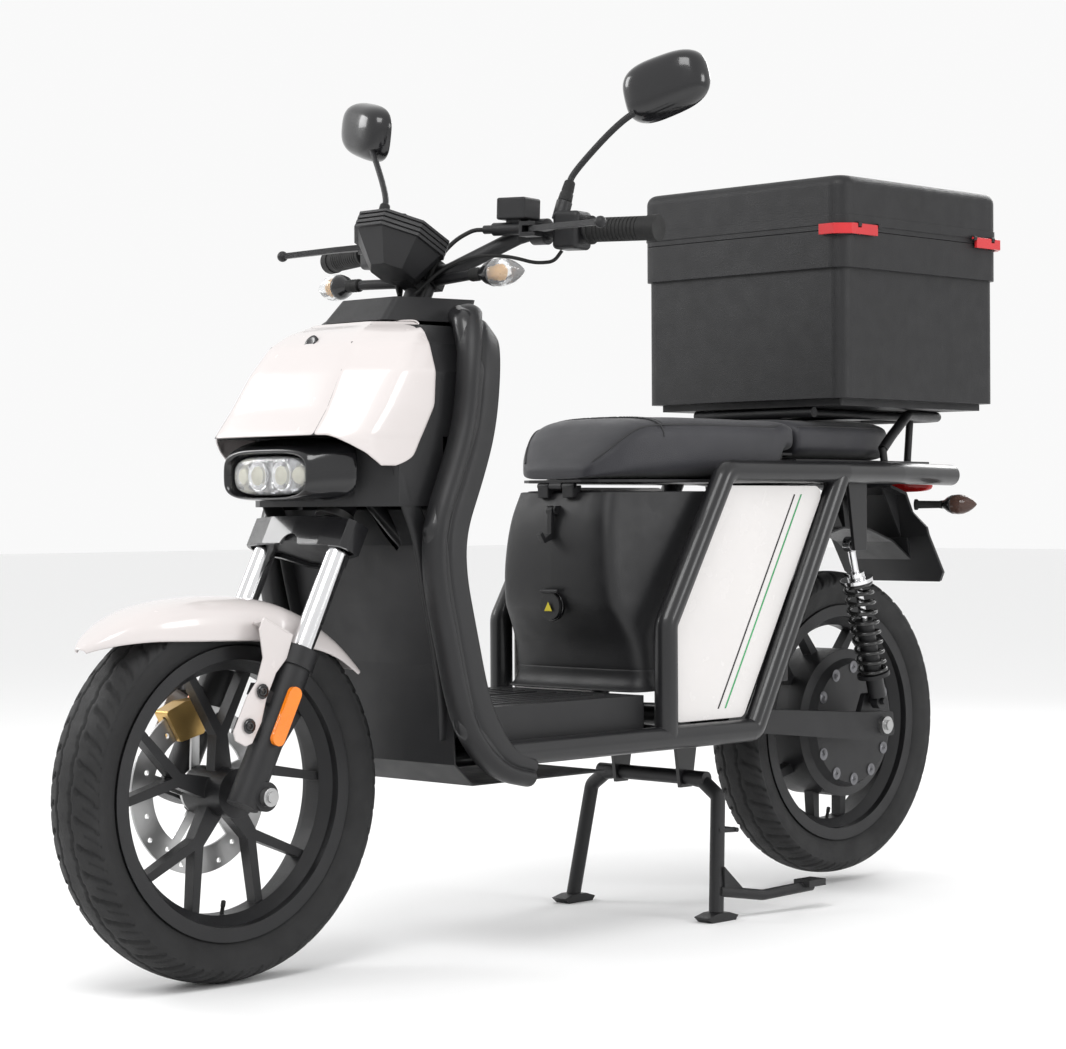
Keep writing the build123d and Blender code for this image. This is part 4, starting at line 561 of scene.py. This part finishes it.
def panel_section(z, x_front, y_front, y_side, x_edge, count):
    """Half of a horizontal section, from the middle out to the side edge."""
    x_mid = x_front - 0.55 * (y_side - y_front) - 28
    guide = [mm(x_front, 0, z), mm(x_front, y_front * 0.55, z), mm(x_front - 1, y_front * 0.92, z),
             mm(x_front - 5, y_front + 5, z), mm(x_mid + 6, y_side - 5, z), mm(x_mid - 10, y_side, z),
             mm(x_edge, y_side, z)]
    return blend_points(guide, count)


def edge_x(z):
    """Where the side edge of the shell stands at a height."""
    return between(EDGE_ROWS, z)[0]


def resampled(points, count):
    """Evenly spaced points along a line of points."""
    lengths = [0.0]
    for low, high in zip(points, points[1:]):
        lengths.append(lengths[-1] + (high - low).length)
    result, span = [], 0
    for index in range(count):
        place = lengths[-1] * index / (count - 1)
        while span < len(points) - 2 and lengths[span + 1] < place:
            span += 1
        share = (place - lengths[span]) / max(lengths[span + 1] - lengths[span], 1e-9)
        result.append(points[span].lerp(points[span + 1], min(share, 1)))
    return result


def welded(made, distance=1e-5):
    """Join points that coincide, and face everything outwards."""
    mesh = bmesh.new()
    mesh.from_mesh(made.data)
    bmesh.ops.remove_doubles(mesh, verts=mesh.verts, dist=distance)
    bmesh.ops.recalc_face_normals(mesh, faces=mesh.faces)
    mesh.to_mesh(made.data)
    mesh.free()


def sheets(name, grids, finish, body):
    """One surface from several open grids that share their edges."""
    verts, faces = [], []
    for grid in grids:
        base, wide = len(verts), len(grid[0])
        verts += [point for row in grid for point in row]
        for row in range(len(grid) - 1):
            for column in range(wide - 1):
                corner = base + row * wide + column
                faces.append((corner, corner + 1, corner + wide + 1, corner + wide))
    made = piece(name, verts, faces, finish, body)
    welded(made)
    return made


def nose_rows():
    """Sections of the nose from its lower edge up, closed over the top."""
    rows = []
    for step in range(34):
        z = PANEL_LOW + (PANEL_HIGH - PANEL_LOW) * (step / 33) ** 0.9
        x_front, y_front, y_side = between(PANEL_ROWS, z)
        half = resampled(panel_section(z, x_front, y_front, y_side, edge_x(z), 60), 41)
        rows.append([on_side(point, -1) for point in reversed(half[1:])] + half)
    middle, last = mm(360, 0, 860), rows[-1]
    for shrink, height in ((0.97, 858), (0.9, 859.2), (0.75, 859.4), (0.55, 859.5)):
        rows.append([Vector((middle.x + (p.x - middle.x) * shrink, p.y * shrink, height * MM)) for p in last])
    return rows


def lobe_rows(top, side):
    """Sections of the lobe that runs down beside the headlight from the nose's lower edge."""
    rows = [[on_side(point, side) for point in top]]
    for step in range(1, 10):
        share = step / 9
        z = PANEL_LOW - LOBE_DROP * share
        x_begin = top[0].x - 0.062 * share
        x_edge = edge_x(z) + 26 * max(share - 0.6, 0) ** 2 * 6
        line = resampled(panel_section(z, 541, 101, 149.5, x_edge, 80), 90)
        kept = resampled([point for point in line if point.y > 0.1 and point.x < x_begin], len(top))
        rows.append([on_side(point, side) for point in kept])
    return rows


def front_shell():
    """White nose shell with side lobes, and a plain round badge."""
    rows = nose_rows()
    lower_edge = rows[0][40:]
    start = next(k for k, point in enumerate(lower_edge) if point.y > 0.112)
    top = lower_edge[start:]
    shell = sheets("front_shell", [rows, lobe_rows(top, 1), lobe_rows(top, -1)], "white", "scooter")
    modify(shell, "SOLIDIFY", thickness=0.0026, offset=-1.0)
    modify(shell, "SUBSURF", levels=1, render_levels=1)
    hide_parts("front_panel")
    badge = [(-3, 11), (1.0, 11), (1.6, 10), (1.2, 7), (1.2, 0.1)]
    turned("front_badge", mm(451.5, 0, 831), Vector((0.86, 0, 0.5)), badge, "gloss", "scooter", 40)


# ---------------------------------------------------------------- seat base and leg shield rims
SEAT_BASE_ROWS = [(345, -40, 136), (352, -50, 133), (364, -54, 131), (409, -47, 128), (440, -30, 122),
                  (466, -15, 118), (490, -10, 115), (520, -8, 113), (560, -10, 109), (591, -14, 105),
                  (612, -20, 101), (632, -28, 98)]
SEAT_BASE_HEIGHTS = [345, 347, 351, 357, 364, 372, 374, 375, 376, 386, 400, 415, 430, 444, 456, 466, 478, 492,
                     508, 526, 544, 562, 580, 596, 610, 620, 628, 631, 632.4]
SEAT_BASE_LINE = 375
HINGE_PROFILE = [(0, 2), (0, 4.6), (0.6, 4.9), (21.4, 4.9), (22, 4.6), (22, 2)]
HINGE_EAR = [(-34, 624), (-15, 624), (-14.4, 641), (-34, 642)]
HOOK_CHEEK = [(-26, 599), (-6, 600), (-3.5, 606), (-6, 612), (-26, 613)]


def base_section(z):
    """A horizontal section of the seat base, open at the back."""
    x_front, y_front = between(SEAT_BASE_ROWS, z)
    half = [(x_front + 3, 0), (x_front + 2, y_front * 0.5), (x_front, y_front - 26),
            (x_front - 5, y_front - 9), (x_front - 16, y_front - 1), (x_front - 34, y_front + 4),
            (-175, 143), (-240, 145), (-372, 145)]
    points = blend_points([mm(x, y, z) for x, y in half], 46)
    return [on_side(point, -1) for point in reversed(points[1:])] + points


def seat_base_shell():
    """The moulded seat base, with a joint line low down and a lip around the top."""
    rows = []
    for z in SEAT_BASE_HEIGHTS:
        row = base_section(z)
        if z == SEAT_BASE_LINE:
            row = [Vector((p.x - 0.0012, p.y * 0.992, p.z)) for p in row]
        rows.append(row)
    middle_x = mm(-200, 0, 0).x
    lip = [Vector((middle_x + (p.x - middle_x) * 0.96, p.y * 0.96, 0.633)) for p in rows[-1]]
    rows += [lip, [Vector((p.x * 0.9, p.y * 0.93, 0.6325)) for p in lip]]
    shell = sheets("seat_base_shell", [rows], "plastic", "scooter")
    modify(shell, "SOLIDIFY", thickness=0.0028, offset=-1.0)
    modify(shell, "SUBSURF", levels=1, render_levels=1)
    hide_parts("seat_base")


def seat_base():
    """The seat base with the seat's hinge ears, the bag hook's cheeks and the charging port's surround."""
    seat_base_shell()
    for side in (-1, 1):
        turned(f"seat_hinge_{side + 2}", mm(-19, side * 14, 641), Vector((0, side, 0)), HINGE_PROFILE,
               "metal", "scooter", 28)
        near, far = [[mm(x, side * y, z) for x, z in HINGE_EAR] for y in (14.5, 35.5)]
        slab(f"seat_hinge_ear_{side + 2}", near, far, "metal", "scooter", 0.0012, 3)
        near, far = [[mm(x, side * y, z) for x, z in HOOK_CHEEK] for y in (5.6, 9)]
        slab(f"hook_cheek_{side + 2}", near, far, "metal", "scooter", 0.0008, 2)
    surround = [(-4, 21), (1.5, 22), (2.2, 21), (1.4, 17.5), (-2, 17)]
    turned("port_surround", mm(-9, 0, 466), Vector((1, 0, 0)), surround, "gloss", "scooter", 40)
    mark = [mm(0.4, y, z) for y, z in ((-8, 459), (8, 459), (0, 473))]
    raised = [point + Vector((0.0006, 0, 0)) for point in mark]
    slab("port_mark", mark, raised, "yellow", "flap", 0.0003, 1)


RIM_PATH = [(262, 101, 866), (290, 142, 858), (312, 166, 806), (321, 167, 726), (344, 167, 662),
            (378, 167, 588), (380, 167, 520), (360, 167, 440), (334, 167, 336), (300, 167, 290),
            (262, 167, 262), (214, 167, 252)]
RIM_SECTION = [(-18, -16), (-20.5, -6), (-20.5, 6), (-18, 14), (-12, 19), (-6, 20.5), (-2, 19), (1, 15.5),
               (4, 15.5), (7, 18.5), (14, 19.3), (32, 18.6), (39, 15), (42, 8), (42, -6), (38, -13),
               (30, -16), (6, -17.5)]


def line_direction(path, index):
    """The direction of a line of points at one of them."""
    after = path[min(index + 1, len(path) - 1)]
    return (after - path[max(index - 1, 0)]).normalized()


def rim_ring(path, index, side):
    """One section of the rim moulding, flatter near its ends."""
    tangent = line_direction(path, index)
    behind = tangent.cross(Vector((0, 1, 0)))
    if behind.x > 0:
        behind = -behind
    behind.normalize()
    outward = behind.cross(tangent)
    if outward.y < 0:
        outward = -outward
    place = index / (len(path) - 1)
    full = min(place / 0.14, 1, (1 - place) / 0.3)
    full = full * full * (3 - 2 * full)
    ring = []
    for back, out in RIM_SECTION:
        deep = back * (1 if back < 0 else 0.43 + 0.57 * full)
        ring.append(on_side(path[index] + behind * deep * MM + outward * out * MM, side))
    return ring


def rim_strips():
    """Moulded covers along the leg shield edges, over the frame rails."""
    path = blend_points([mm(*point) for point in RIM_PATH], 64)
    for side, name in SIDES:
        rings = [rim_ring(path, index, side) for index in range(len(path))]
        strip = skin(f"shield_rim_{name}", rings, "plastic", "scooter")
        modify(strip, "SUBSURF", levels=1, render_levels=2)


# ---------------------------------------------------------------- shock coils
COIL_HIGH = -62.0
COIL_LOW = -212.0
COIL_R = 21.0
WIRE_R = 3.3
COIL_TURNS = 9.5
COIL_STEPS = 260
WIRE_STEPS = 10
SEAT_GAP = 0.3


def shock_coils():
    """Coil springs around the shocks, held at their upper seats."""
    axis = Vector((70, 0, 250)).normalized()
    ahead = Vector((axis.z, 0, -axis.x))
    across = Vector((0, 1, 0))
    for side, name in SIDES:
        top = mm(-552, side * 126, 550)
        rings = []
        for step in range(COIL_STEPS + 1):
            share = step / COIL_STEPS
            turn = 2 * pi * COIL_TURNS * share
            risen = min(max((share - 0.04) / 0.92, 0), 1)
            along = COIL_HIGH - WIRE_R - SEAT_GAP + (COIL_LOW - COIL_HIGH + 2 * WIRE_R + 2 * SEAT_GAP) * risen
            out = ahead * cos(turn) + across * sin(turn)
            centre = top + (axis * along + out * COIL_R) * MM
            ring = []
            for k in range(WIRE_STEPS):
                angle = 2 * pi * k / WIRE_STEPS
                ring.append(centre + (out * cos(angle) + axis * sin(angle)) * WIRE_R * MM)
            rings.append(ring)
        coil = skin(f"shock_coil_{name}", rings, "spring", "shock_upper")
        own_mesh(coil)
        if side > 0:
            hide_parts("shock_springs")


# ---------------------------------------------------------------- fairing ridges and panel stripes
RIDGE_PATH = [(428, 140, 700), (424, 141, 650), (414, 141, 618), (398, 140, 590), (386, 139, 560),
              (374, 138, 500), (352, 136, 420), (340, 134, 350), (336, 132, 300)]
RIDGE_SECTION = [(-9, -4), (-9, 0), (-6, 4), (0, 5.5), (12, 5), (22, 3), (25, -4)]
STRIPE_Y = 162.15
STRIPE_WIDE = 3.2


def fairing_ridge(side, name):
    """A raised line on the lower fairing beside the front wheel."""
    line = blend_points([mm(x, side * y, z) for x, y, z in RIDGE_PATH], 40)
    last = len(line) - 1
    rings = []
    for index, spot in enumerate(line):
        behind = line_direction(line, index).cross(Vector((0, 1, 0)))
        behind = -behind if behind.x > 0 else behind
        behind.normalize()
        fade = min(index / 6, (last - index) / 6, 1)
        ring = []
        for back, out in RIDGE_SECTION:
            ring.append(spot + (behind * back + Vector((0, side, 0)) * out * fade) * MM)
        rings.append(ring)
    ridge = skin(f"fairing_ridge_{name}", rings, "plastic", "scooter")
    modify(ridge, "SUBSURF", levels=1, render_levels=2)


def panel_stripes(side, name):
    """Two plain slanted stripes on a side panel."""
    for shift, finish in ((0, "green"), (16, "gloss")):
        low, high = -206 + shift, -386 + shift
        outline = [(low, 314), (low + STRIPE_WIDE, 314), (high + STRIPE_WIDE, 628), (high, 628)]
        inner = [mm(x, side * STRIPE_Y, z) for x, z in outline]
        outer = [point + Vector((0, side * 0.0004, 0)) for point in inner]
        slab(f"panel_stripe_{name}_{shift}", inner, outer, finish, "scooter", 0.0001, 1)


def fairing_ridges():
    """Raised lines on the lower fairing, and stripes on the side panels."""
    for side, name in SIDES:
        fairing_ridge(side, name)
        panel_stripes(side, name)


# ---------------------------------------------------------------- mirrors
MIRROR_TURN = radians(15.0)
MIRROR_HEAD = (80, 302, 1180)
MIRROR_STEM = [(155, 185, 1026), (148, 186.6, 1048), (142, 188, 1066), (110, 250, 1136), (90, 284, 1154),
               (86, 292, 1164)]
MIRROR_SHELL = [(0.9, -9), (0.965, -12), (1.0, -11), (1.0, -4), (0.97, 4), (0.88, 13), (0.72, 19),
                (0.45, 22.5), (0.12, 23)]
MIRROR_GLASS = [(0.915, -9.5), (0.915, -11), (0.6, -11.2), (0.05, -11.3)]
MIRROR_NUT = [(0, 9.6), (1, 10), (12, 9.2), (14, 8), (16, 8.6), (28, 7.6), (30, 6.5), (31, 4.4)]


def squared(value, power):
    """A cosine or sine pushed out towards the corners of a rounded rectangle."""
    return abs(value) ** (2 / power) * (1 if value > 0 else -1)


def mirror_ring(side, grow, depth):
    """One outline of a mirror head."""
    right = Vector((-sin(MIRROR_TURN), cos(MIRROR_TURN), 0.24)).normalized()
    ahead = Vector((cos(MIRROR_TURN), sin(MIRROR_TURN), 0)).normalized()
    up = ahead.cross(right).normalized()
    if up.z < 0:
        up = -up
    centre = mm(*MIRROR_HEAD)
    points = []
    for k in range(48):
        angle = 2 * pi * k / 48
        u = squared(cos(angle), 3.0) * 64 * grow
        v = squared(sin(angle), 3.0) * 42 * grow
        v += u * 0.06 if v < 0 else 0
        points.append(on_side(centre + (right * u + up * v + ahead * depth) * MM, side))
    return points


def mirror_heads():
    """Rounded mirror shells with silvered glass, on bent stems."""
    for side, name in SIDES:
        body = f"mirror_{name}_arm"
        shell_rings = [mirror_ring(side, *row) for row in MIRROR_SHELL]
        glass_rings = [mirror_ring(side, *row) for row in MIRROR_GLASS]
        shell = skin(f"mirror_shell_{name}", shell_rings, "gloss", body)
        modify(shell, "SUBSURF", levels=1, render_levels=1)
        glass = skin(f"mirror_glass_{name}", glass_rings, "mirror", body)
        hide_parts(f"mirror_{name}")
        stem = [mm(x, side * y, z) for x, y, z in MIRROR_STEM]
        tube(f"mirror_stem_{name}", stem, 4.5, "metal", body, 10)
        turned(f"mirror_nut_{name}", stem[0], stem[2] - stem[0], MIRROR_NUT, "rubber", body, 28)


# ---------------------------------------------------------------- headlight and signals
HEADLIGHT_SHELL = [(464, 250, 84, 661, 4.2), (484, 238, 84, 661, 3.8), (504, 214, 80, 659.5, 3.6),
                   (521, 190, 74, 657, 3.6), (531, 176, 68, 655, 3.6), (533.5, 168, 62, 654, 3.6),
                   (532, 160, 58, 653, 3.6), (520, 150, 55, 653, 3.6), (508, 146, 54, 653, 3.6)]
HEADLIGHT_GLASS = [(509, 144, 52, 653, 3.4), (520, 147, 53.5, 653, 3.4), (526, 144, 51, 653, 3.2),
                   (530, 124, 40, 653, 3), (531.5, 70, 20, 653, 2.6), (531.8, 8, 4, 653, 2)]
HEADLIGHT_BOWL = [(523, 138, 46, 653, 3.2), (515, 120, 38, 653, 3), (511, 60, 20, 653, 2.6),
                  (510.6, 10, 5, 653, 2)]
TAIL_LENS = [(-812, 166, 30, 648, 5), (-830, 166, 30, 648, 5), (-835, 160, 26, 648, 5),
             (-836, 140, 18, 648, 4)]
PROJECTOR = [(0, 17), (6, 17), (8, 15), (9, 12), (12, 8), (13.5, 3), (13.6, 0.1)]
PROJECTOR_RING = [(0, 19), (9, 19), (10, 18), (9, 17)]
SIDE_LAMP = [(0, 10), (5, 10), (6, 8), (7, 3), (7.1, 0.1)]
SIGNAL_LENS = [(0.22, 0.60), (0.25, 0.84), (0.34, 0.96), (0.46, 1.0), (0.6, 0.94), (0.74, 0.76), (0.87, 0.47),
               (0.96, 0.2), (1.0, 0.02)]
SIGNAL_BASE = [(-0.02, 0.42), (0.06, 0.5), (0.16, 0.78), (0.27, 0.93), (0.31, 0.96), (0.31, 0.7), (0.24, 0.4)]
SIGNAL_BULB = [(0, 5), (8, 5.5), (14, 7), (22, 7), (27, 4), (29, 0.1)]
FRONT_STALK = [(0, 9), (3, 9.4), (5, 8), (8, 9.4), (10, 8), (13, 9.4), (15, 8), (20, 9), (23, 8)]
REAR_STALK = [(0, 9), (4, 9), (6, 6.5), (40, 6), (46, 7)]


def oval(x, width, height, z, power, count=48):
    """A rounded-rectangle ring across the scooter, in mm."""
    ring = []
    for k in range(count):
        turn = 2 * pi * k / count
        y = squared(cos(turn), power) * width / 2
        rise = squared(sin(turn), power) * height / 2
        ring.append(mm(x, y, z + rise))
    return ring


def oval_skin(name, rows, finish, caps=True):
    """A surface through rounded-rectangle rings."""
    return skin(name, [oval(*row) for row in rows], finish, "scooter", caps=caps)


def headlight():
    """Headlight housing, lens, bowl and four lamps."""
    bezel = oval_skin("headlight_shell", HEADLIGHT_SHELL, "gloss")
    modify(bezel, "SUBSURF", levels=1, render_levels=2)
    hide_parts("headlight_housing")
    lens = oval_skin("headlight_glass", HEADLIGHT_GLASS, "clear")
    modify(lens, "SUBSURF", levels=1, render_levels=2)
    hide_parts("headlight_lens")
    oval_skin("headlight_bowl", HEADLIGHT_BOWL, "chrome", caps=False)
    ahead = Vector((1, 0, 0))
    for side in (-1, 1):
        inner, outer = mm(511, side * 24, 653), mm(513, side * 54, 653)
        turned(f"headlight_projector_{side + 2}", inner, ahead, PROJECTOR, "led", "scooter")
        turned(f"headlight_ring_{side + 2}", inner, ahead, PROJECTOR_RING, "chrome", "scooter")
        turned(f"headlight_side_{side + 2}", outer, ahead, SIDE_LAMP, "led", "scooter", 20)


def signal(name, root, tip, radius, lens, body):
    """An indicator: dark base, pointed lens and the bulb inside."""
    axis = tip - root
    length = axis.length / MM
    lens_profile = [(length * along, radius * wide) for along, wide in SIGNAL_LENS]
    base_profile = [(length * along, radius * wide) for along, wide in SIGNAL_BASE]
    turned(name + "_lens", root, axis, lens_profile, lens, body)
    turned(name + "_base", root, axis, base_profile, "gloss", body)
    turned(name + "_bulb", root + axis * 0.25, axis, SIGNAL_BULB, "amber", body, 20)


def signals():
    """Front and rear indicators on rubber stalks, and the tail lamp."""
    for side, name in SIDES:
        root, tip = mm(264, side * 132, 925), mm(255.5, side * 207, 925)
        signal("front_signal_" + name, root, tip, 19, "clear", "steering")
        turned("front_signal_stalk_" + name, mm(262, side * 113.8, 925), Vector((2, side * 20, 0)),
               FRONT_STALK, "rubber", "steering", 24)
        root, tip = mm(-806, side * 122, 612), mm(-814.5, side * 182, 612)
        signal("rear_signal_" + name, root, tip, 16.5, "smoke", "scooter")
        foot = mm(-788, side * 78, 612)
        turned("rear_signal_stalk_" + name, foot, root - foot, REAR_STALK, "rubber", "scooter", 20)
    tail = oval_skin("tail_lens", TAIL_LENS, "lamp_red")
    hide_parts("rear_lamps")
    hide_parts("front_signals")


# ---------------------------------------------------------------- seat and pad
SEAT_ROWS = [(-424, 112, 732), (-418, 121, 739), (-400, 128, 741), (-350, 135, 741.5), (-300, 135, 742),
             (-200, 131, 742.5), (-120, 121, 741), (-92, 114, 738), (-74, 108, 730), (-54, 99, 713),
             (-34, 84, 692), (-20, 70, 676), (-13, 52, 664)]
SEAT_STATIONS = [-424, -420, -412, -400, -390, -382, -374, -366, -350, -320, -290, -260, -230, -200, -170,
                 -140, -120, -106, -94, -84, -74, -64, -54, -44, -34, -26, -20, -16, -13.5]
SEAT_PIPING = [-420, -400, -360, -320, -280, -240, -200, -160, -130, -106, -88, -74, -58, -44, -32, -22]
SEAT_SEAM_X = -120
PAD_ROWS = [(-720, 40), (-716, 62), (-706, 82), (-690, 96), (-650, 110), (-600, 122), (-520, 125),
            (-450, 126), (-434, 122), (-428, 114)]
PAD_STATIONS = [-719.5, -716, -710, -702, -690, -670, -650, -620, -590, -560, -530, -500, -470, -450, -440,
                -434, -430, -428.2]
PAD_PIPING = [-712, -700, -680, -650, -620, -590, -560, -530, -500, -470, -446, -434]


def seat_bottom(x):
    """Height of the cushion's underside, stepped up over the tail."""
    return between([(-424, 692.5), (-388, 692.5), (-368, 651), (0, 651)], x)[0]


def cushion_ring(x, half, low, high, power, count=56):
    """A closed section: flat below, bulged sides, crowned top."""
    ring = []
    middle, rise = (low + high) / 2, (high - low) / 2
    for k in range(count):
        turn = 2 * pi * k / count
        y = squared(cos(turn), power) * half
        z = middle + squared(sin(turn), power) * rise
        if sin(turn) > 0:
            z += 2.2 * (1 - (y / half) ** 2) * sin(turn)
        ring.append(mm(x, y, z))
    return ring


def seat_section(x, count=56):
    """A section of the seat cushion."""
    half, high = between(SEAT_ROWS, x)
    return cushion_ring(x, half, seat_bottom(x), high, 4.4, count)


def pad_section(x):
    """A section of the pillion pad."""
    half = between(PAD_ROWS, x)[0]
    high = 744 - max(0, (-690 - x)) * 0.5 - max(0, x + 440) * 0.4
    return cushion_ring(x, half, 683.5, high, 4.0)


def stitches(name, points, body):
    """Short thread lengths beside a seam."""
    verts, faces = [], []
    for start, end in zip(points, points[1:]):
        run = end - start
        if run.length < 1e-6:
            continue
        side = run.normalized().cross(Vector((0, 0, 1)))
        if side.length < 0.1:
            side = Vector((0, 1, 0))
        side = side.normalized() * 0.0005
        up = run.normalized().cross(side).normalized() * 0.0005
        base = len(verts)
        for spot in (start + run * 0.15, start + run * 0.7):
            verts += [spot + side, spot + up, spot - side, spot - up]
        for k in range(4):
            after = (k + 1) % 4
            faces.append((base + k, base + after, base + 4 + after, base + 4 + k))
    piece(name, verts, faces, "thread", body)


def seat():
    """The seat cushion with piping, a cross seam and its stitches."""
    rings = []
    for x in SEAT_STATIONS:
        dip = Vector((0, 0, 2.0 * MM if x == SEAT_SEAM_X else 0.0))
        rings.append([point - dip if point.z > 0.72 else point for point in seat_section(x)])
    cushion = skin("seat_cushion", rings, "vinyl", "seat_assembly")
    modify(cushion, "SUBSURF", levels=1, render_levels=2)
    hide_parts("seat")
    for index, name, shift in ((5, "left", 0.0002), (23, "right", -0.0002)):
        line = [seat_section(x)[index] + Vector((0, shift, 0)) for x in SEAT_PIPING]
        tube("seat_piping_" + name, line, 1.6, "thread", "seat_assembly")
    cross = [point - Vector((0, 0, 0.0006)) for point in seat_section(SEAT_SEAM_X)[1:28]]
    tube("seat_cross_seam", cross, 1.2, "thread", "seat_assembly")
    for shift in (-5, 5):
        line = [point + Vector((0, 0, 0.0006)) for point in seat_section(SEAT_SEAM_X + shift, 220)[14:97]]
        stitches(f"seat_stitches_{shift + 5}", line, "seat_assembly")


def pillion():
    """The pillion pad with its piping."""
    pad = skin("pillion_cushion", [pad_section(x) for x in PAD_STATIONS], "vinyl", "scooter")
    modify(pad, "SUBSURF", levels=1, render_levels=1)
    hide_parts("pillion_pad")
    for index, name in ((4, "left"), (24, "right")):
        line = [pad_section(x)[index] for x in PAD_PIPING]
        tube("pillion_piping_" + name, line, 1.5, "thread", "scooter")


# ---------------------------------------------------------------- studio
FLOOR_HALF = 30
LIGHTS = (
    ("key_light", (2.2, 1.2, 3.2), (0, 0, 0.6), 1.6, 60),
    ("side_light", (-1.2, 3.6, 1.8), (-0.2, 0, 0.6), 1.2, 34),
    ("rim_light", (1.6, -2.8, 2.2), (0.2, 0, 0.7), 1.2, 34),
    ("back_light", (-3.4, -0.6, 2.4), (-0.4, 0, 0.7), 1.2, 30),
)


def studio_floor():
    """A wide pale floor."""
    floor = bpy.data.meshes.new("studio_floor")
    corners = [(x * FLOOR_HALF, y * FLOOR_HALF, 0) for x, y in ((-1, -1), (1, -1), (1, 1), (-1, 1))]
    floor.from_pydata(corners, [], [(0, 1, 2, 3)])
    floor_object = bpy.data.objects.new("studio_floor", floor)
    pale = bpy.data.materials.new("pale_floor")
    pale.use_nodes = True
    shader = pale.node_tree.nodes["Principled BSDF"]
    shader.inputs["Base Color"].default_value = (0.9, 0.9, 0.9, 1)
    shader.inputs["Roughness"].default_value = 0.75
    floor.materials.append(pale)
    bpy.context.scene.collection.objects.link(floor_object)


def studio():
    """The floor, an even white surround and four soft lights."""
    studio_floor()
    world = bpy.data.worlds.new("studio_world")
    world.use_nodes = True
    world.node_tree.nodes["Background"].inputs["Color"].default_value = (1, 1, 1, 1)
    world.node_tree.nodes["Background"].inputs["Strength"].default_value = 0.95
    bpy.context.scene.world = world
    bpy.context.scene.view_settings.view_transform = "Standard"
    for name, spot, target, size, power in LIGHTS:
        light = bpy.data.lights.new(name, "AREA")
        light.size = size
        light.energy = power
        lamp = bpy.data.objects.new(name, light)
        lamp.location = spot
        lamp.rotation_euler = (Vector(target) - Vector(spot)).to_track_quat("-Z", "Y").to_euler()
        bpy.context.scene.collection.objects.link(lamp)


def camera():
    lens = bpy.data.cameras.new("photo_camera")
    lens.sensor_width = 36.0
    lens.lens = 89.1
    lens.clip_end = 200
    viewer = bpy.data.objects.new("photo_camera", lens)
    viewer.location = (2.7725, 2.673, 0.606)
    yaw, pitch, roll = radians(224.46), radians(-0.31), radians(-0.30)
    look = Vector((cos(yaw) * cos(pitch), sin(yaw) * cos(pitch), sin(pitch)))
    turn = look.to_track_quat("-Z", "Y")
    viewer.rotation_euler = (turn.to_matrix() @ Matrix.Rotation(roll, 3, "Z")).to_euler()
    bpy.context.scene.collection.objects.link(viewer)
    bpy.context.scene.camera = viewer


camera()
studio()
finish_nodes()
tyre_piece("front_tyre", FRONT_HUB, "front_wheel")
tyre_piece("rear_tyre", REAR_HUB, "rear_wheel")
wheel_trim()
front_guard()
front_shell()
headlight()
signals()
seat()
pillion()
seat_base()
rim_strips()
mirror_heads()
fairing_ridges()
shock_coils()
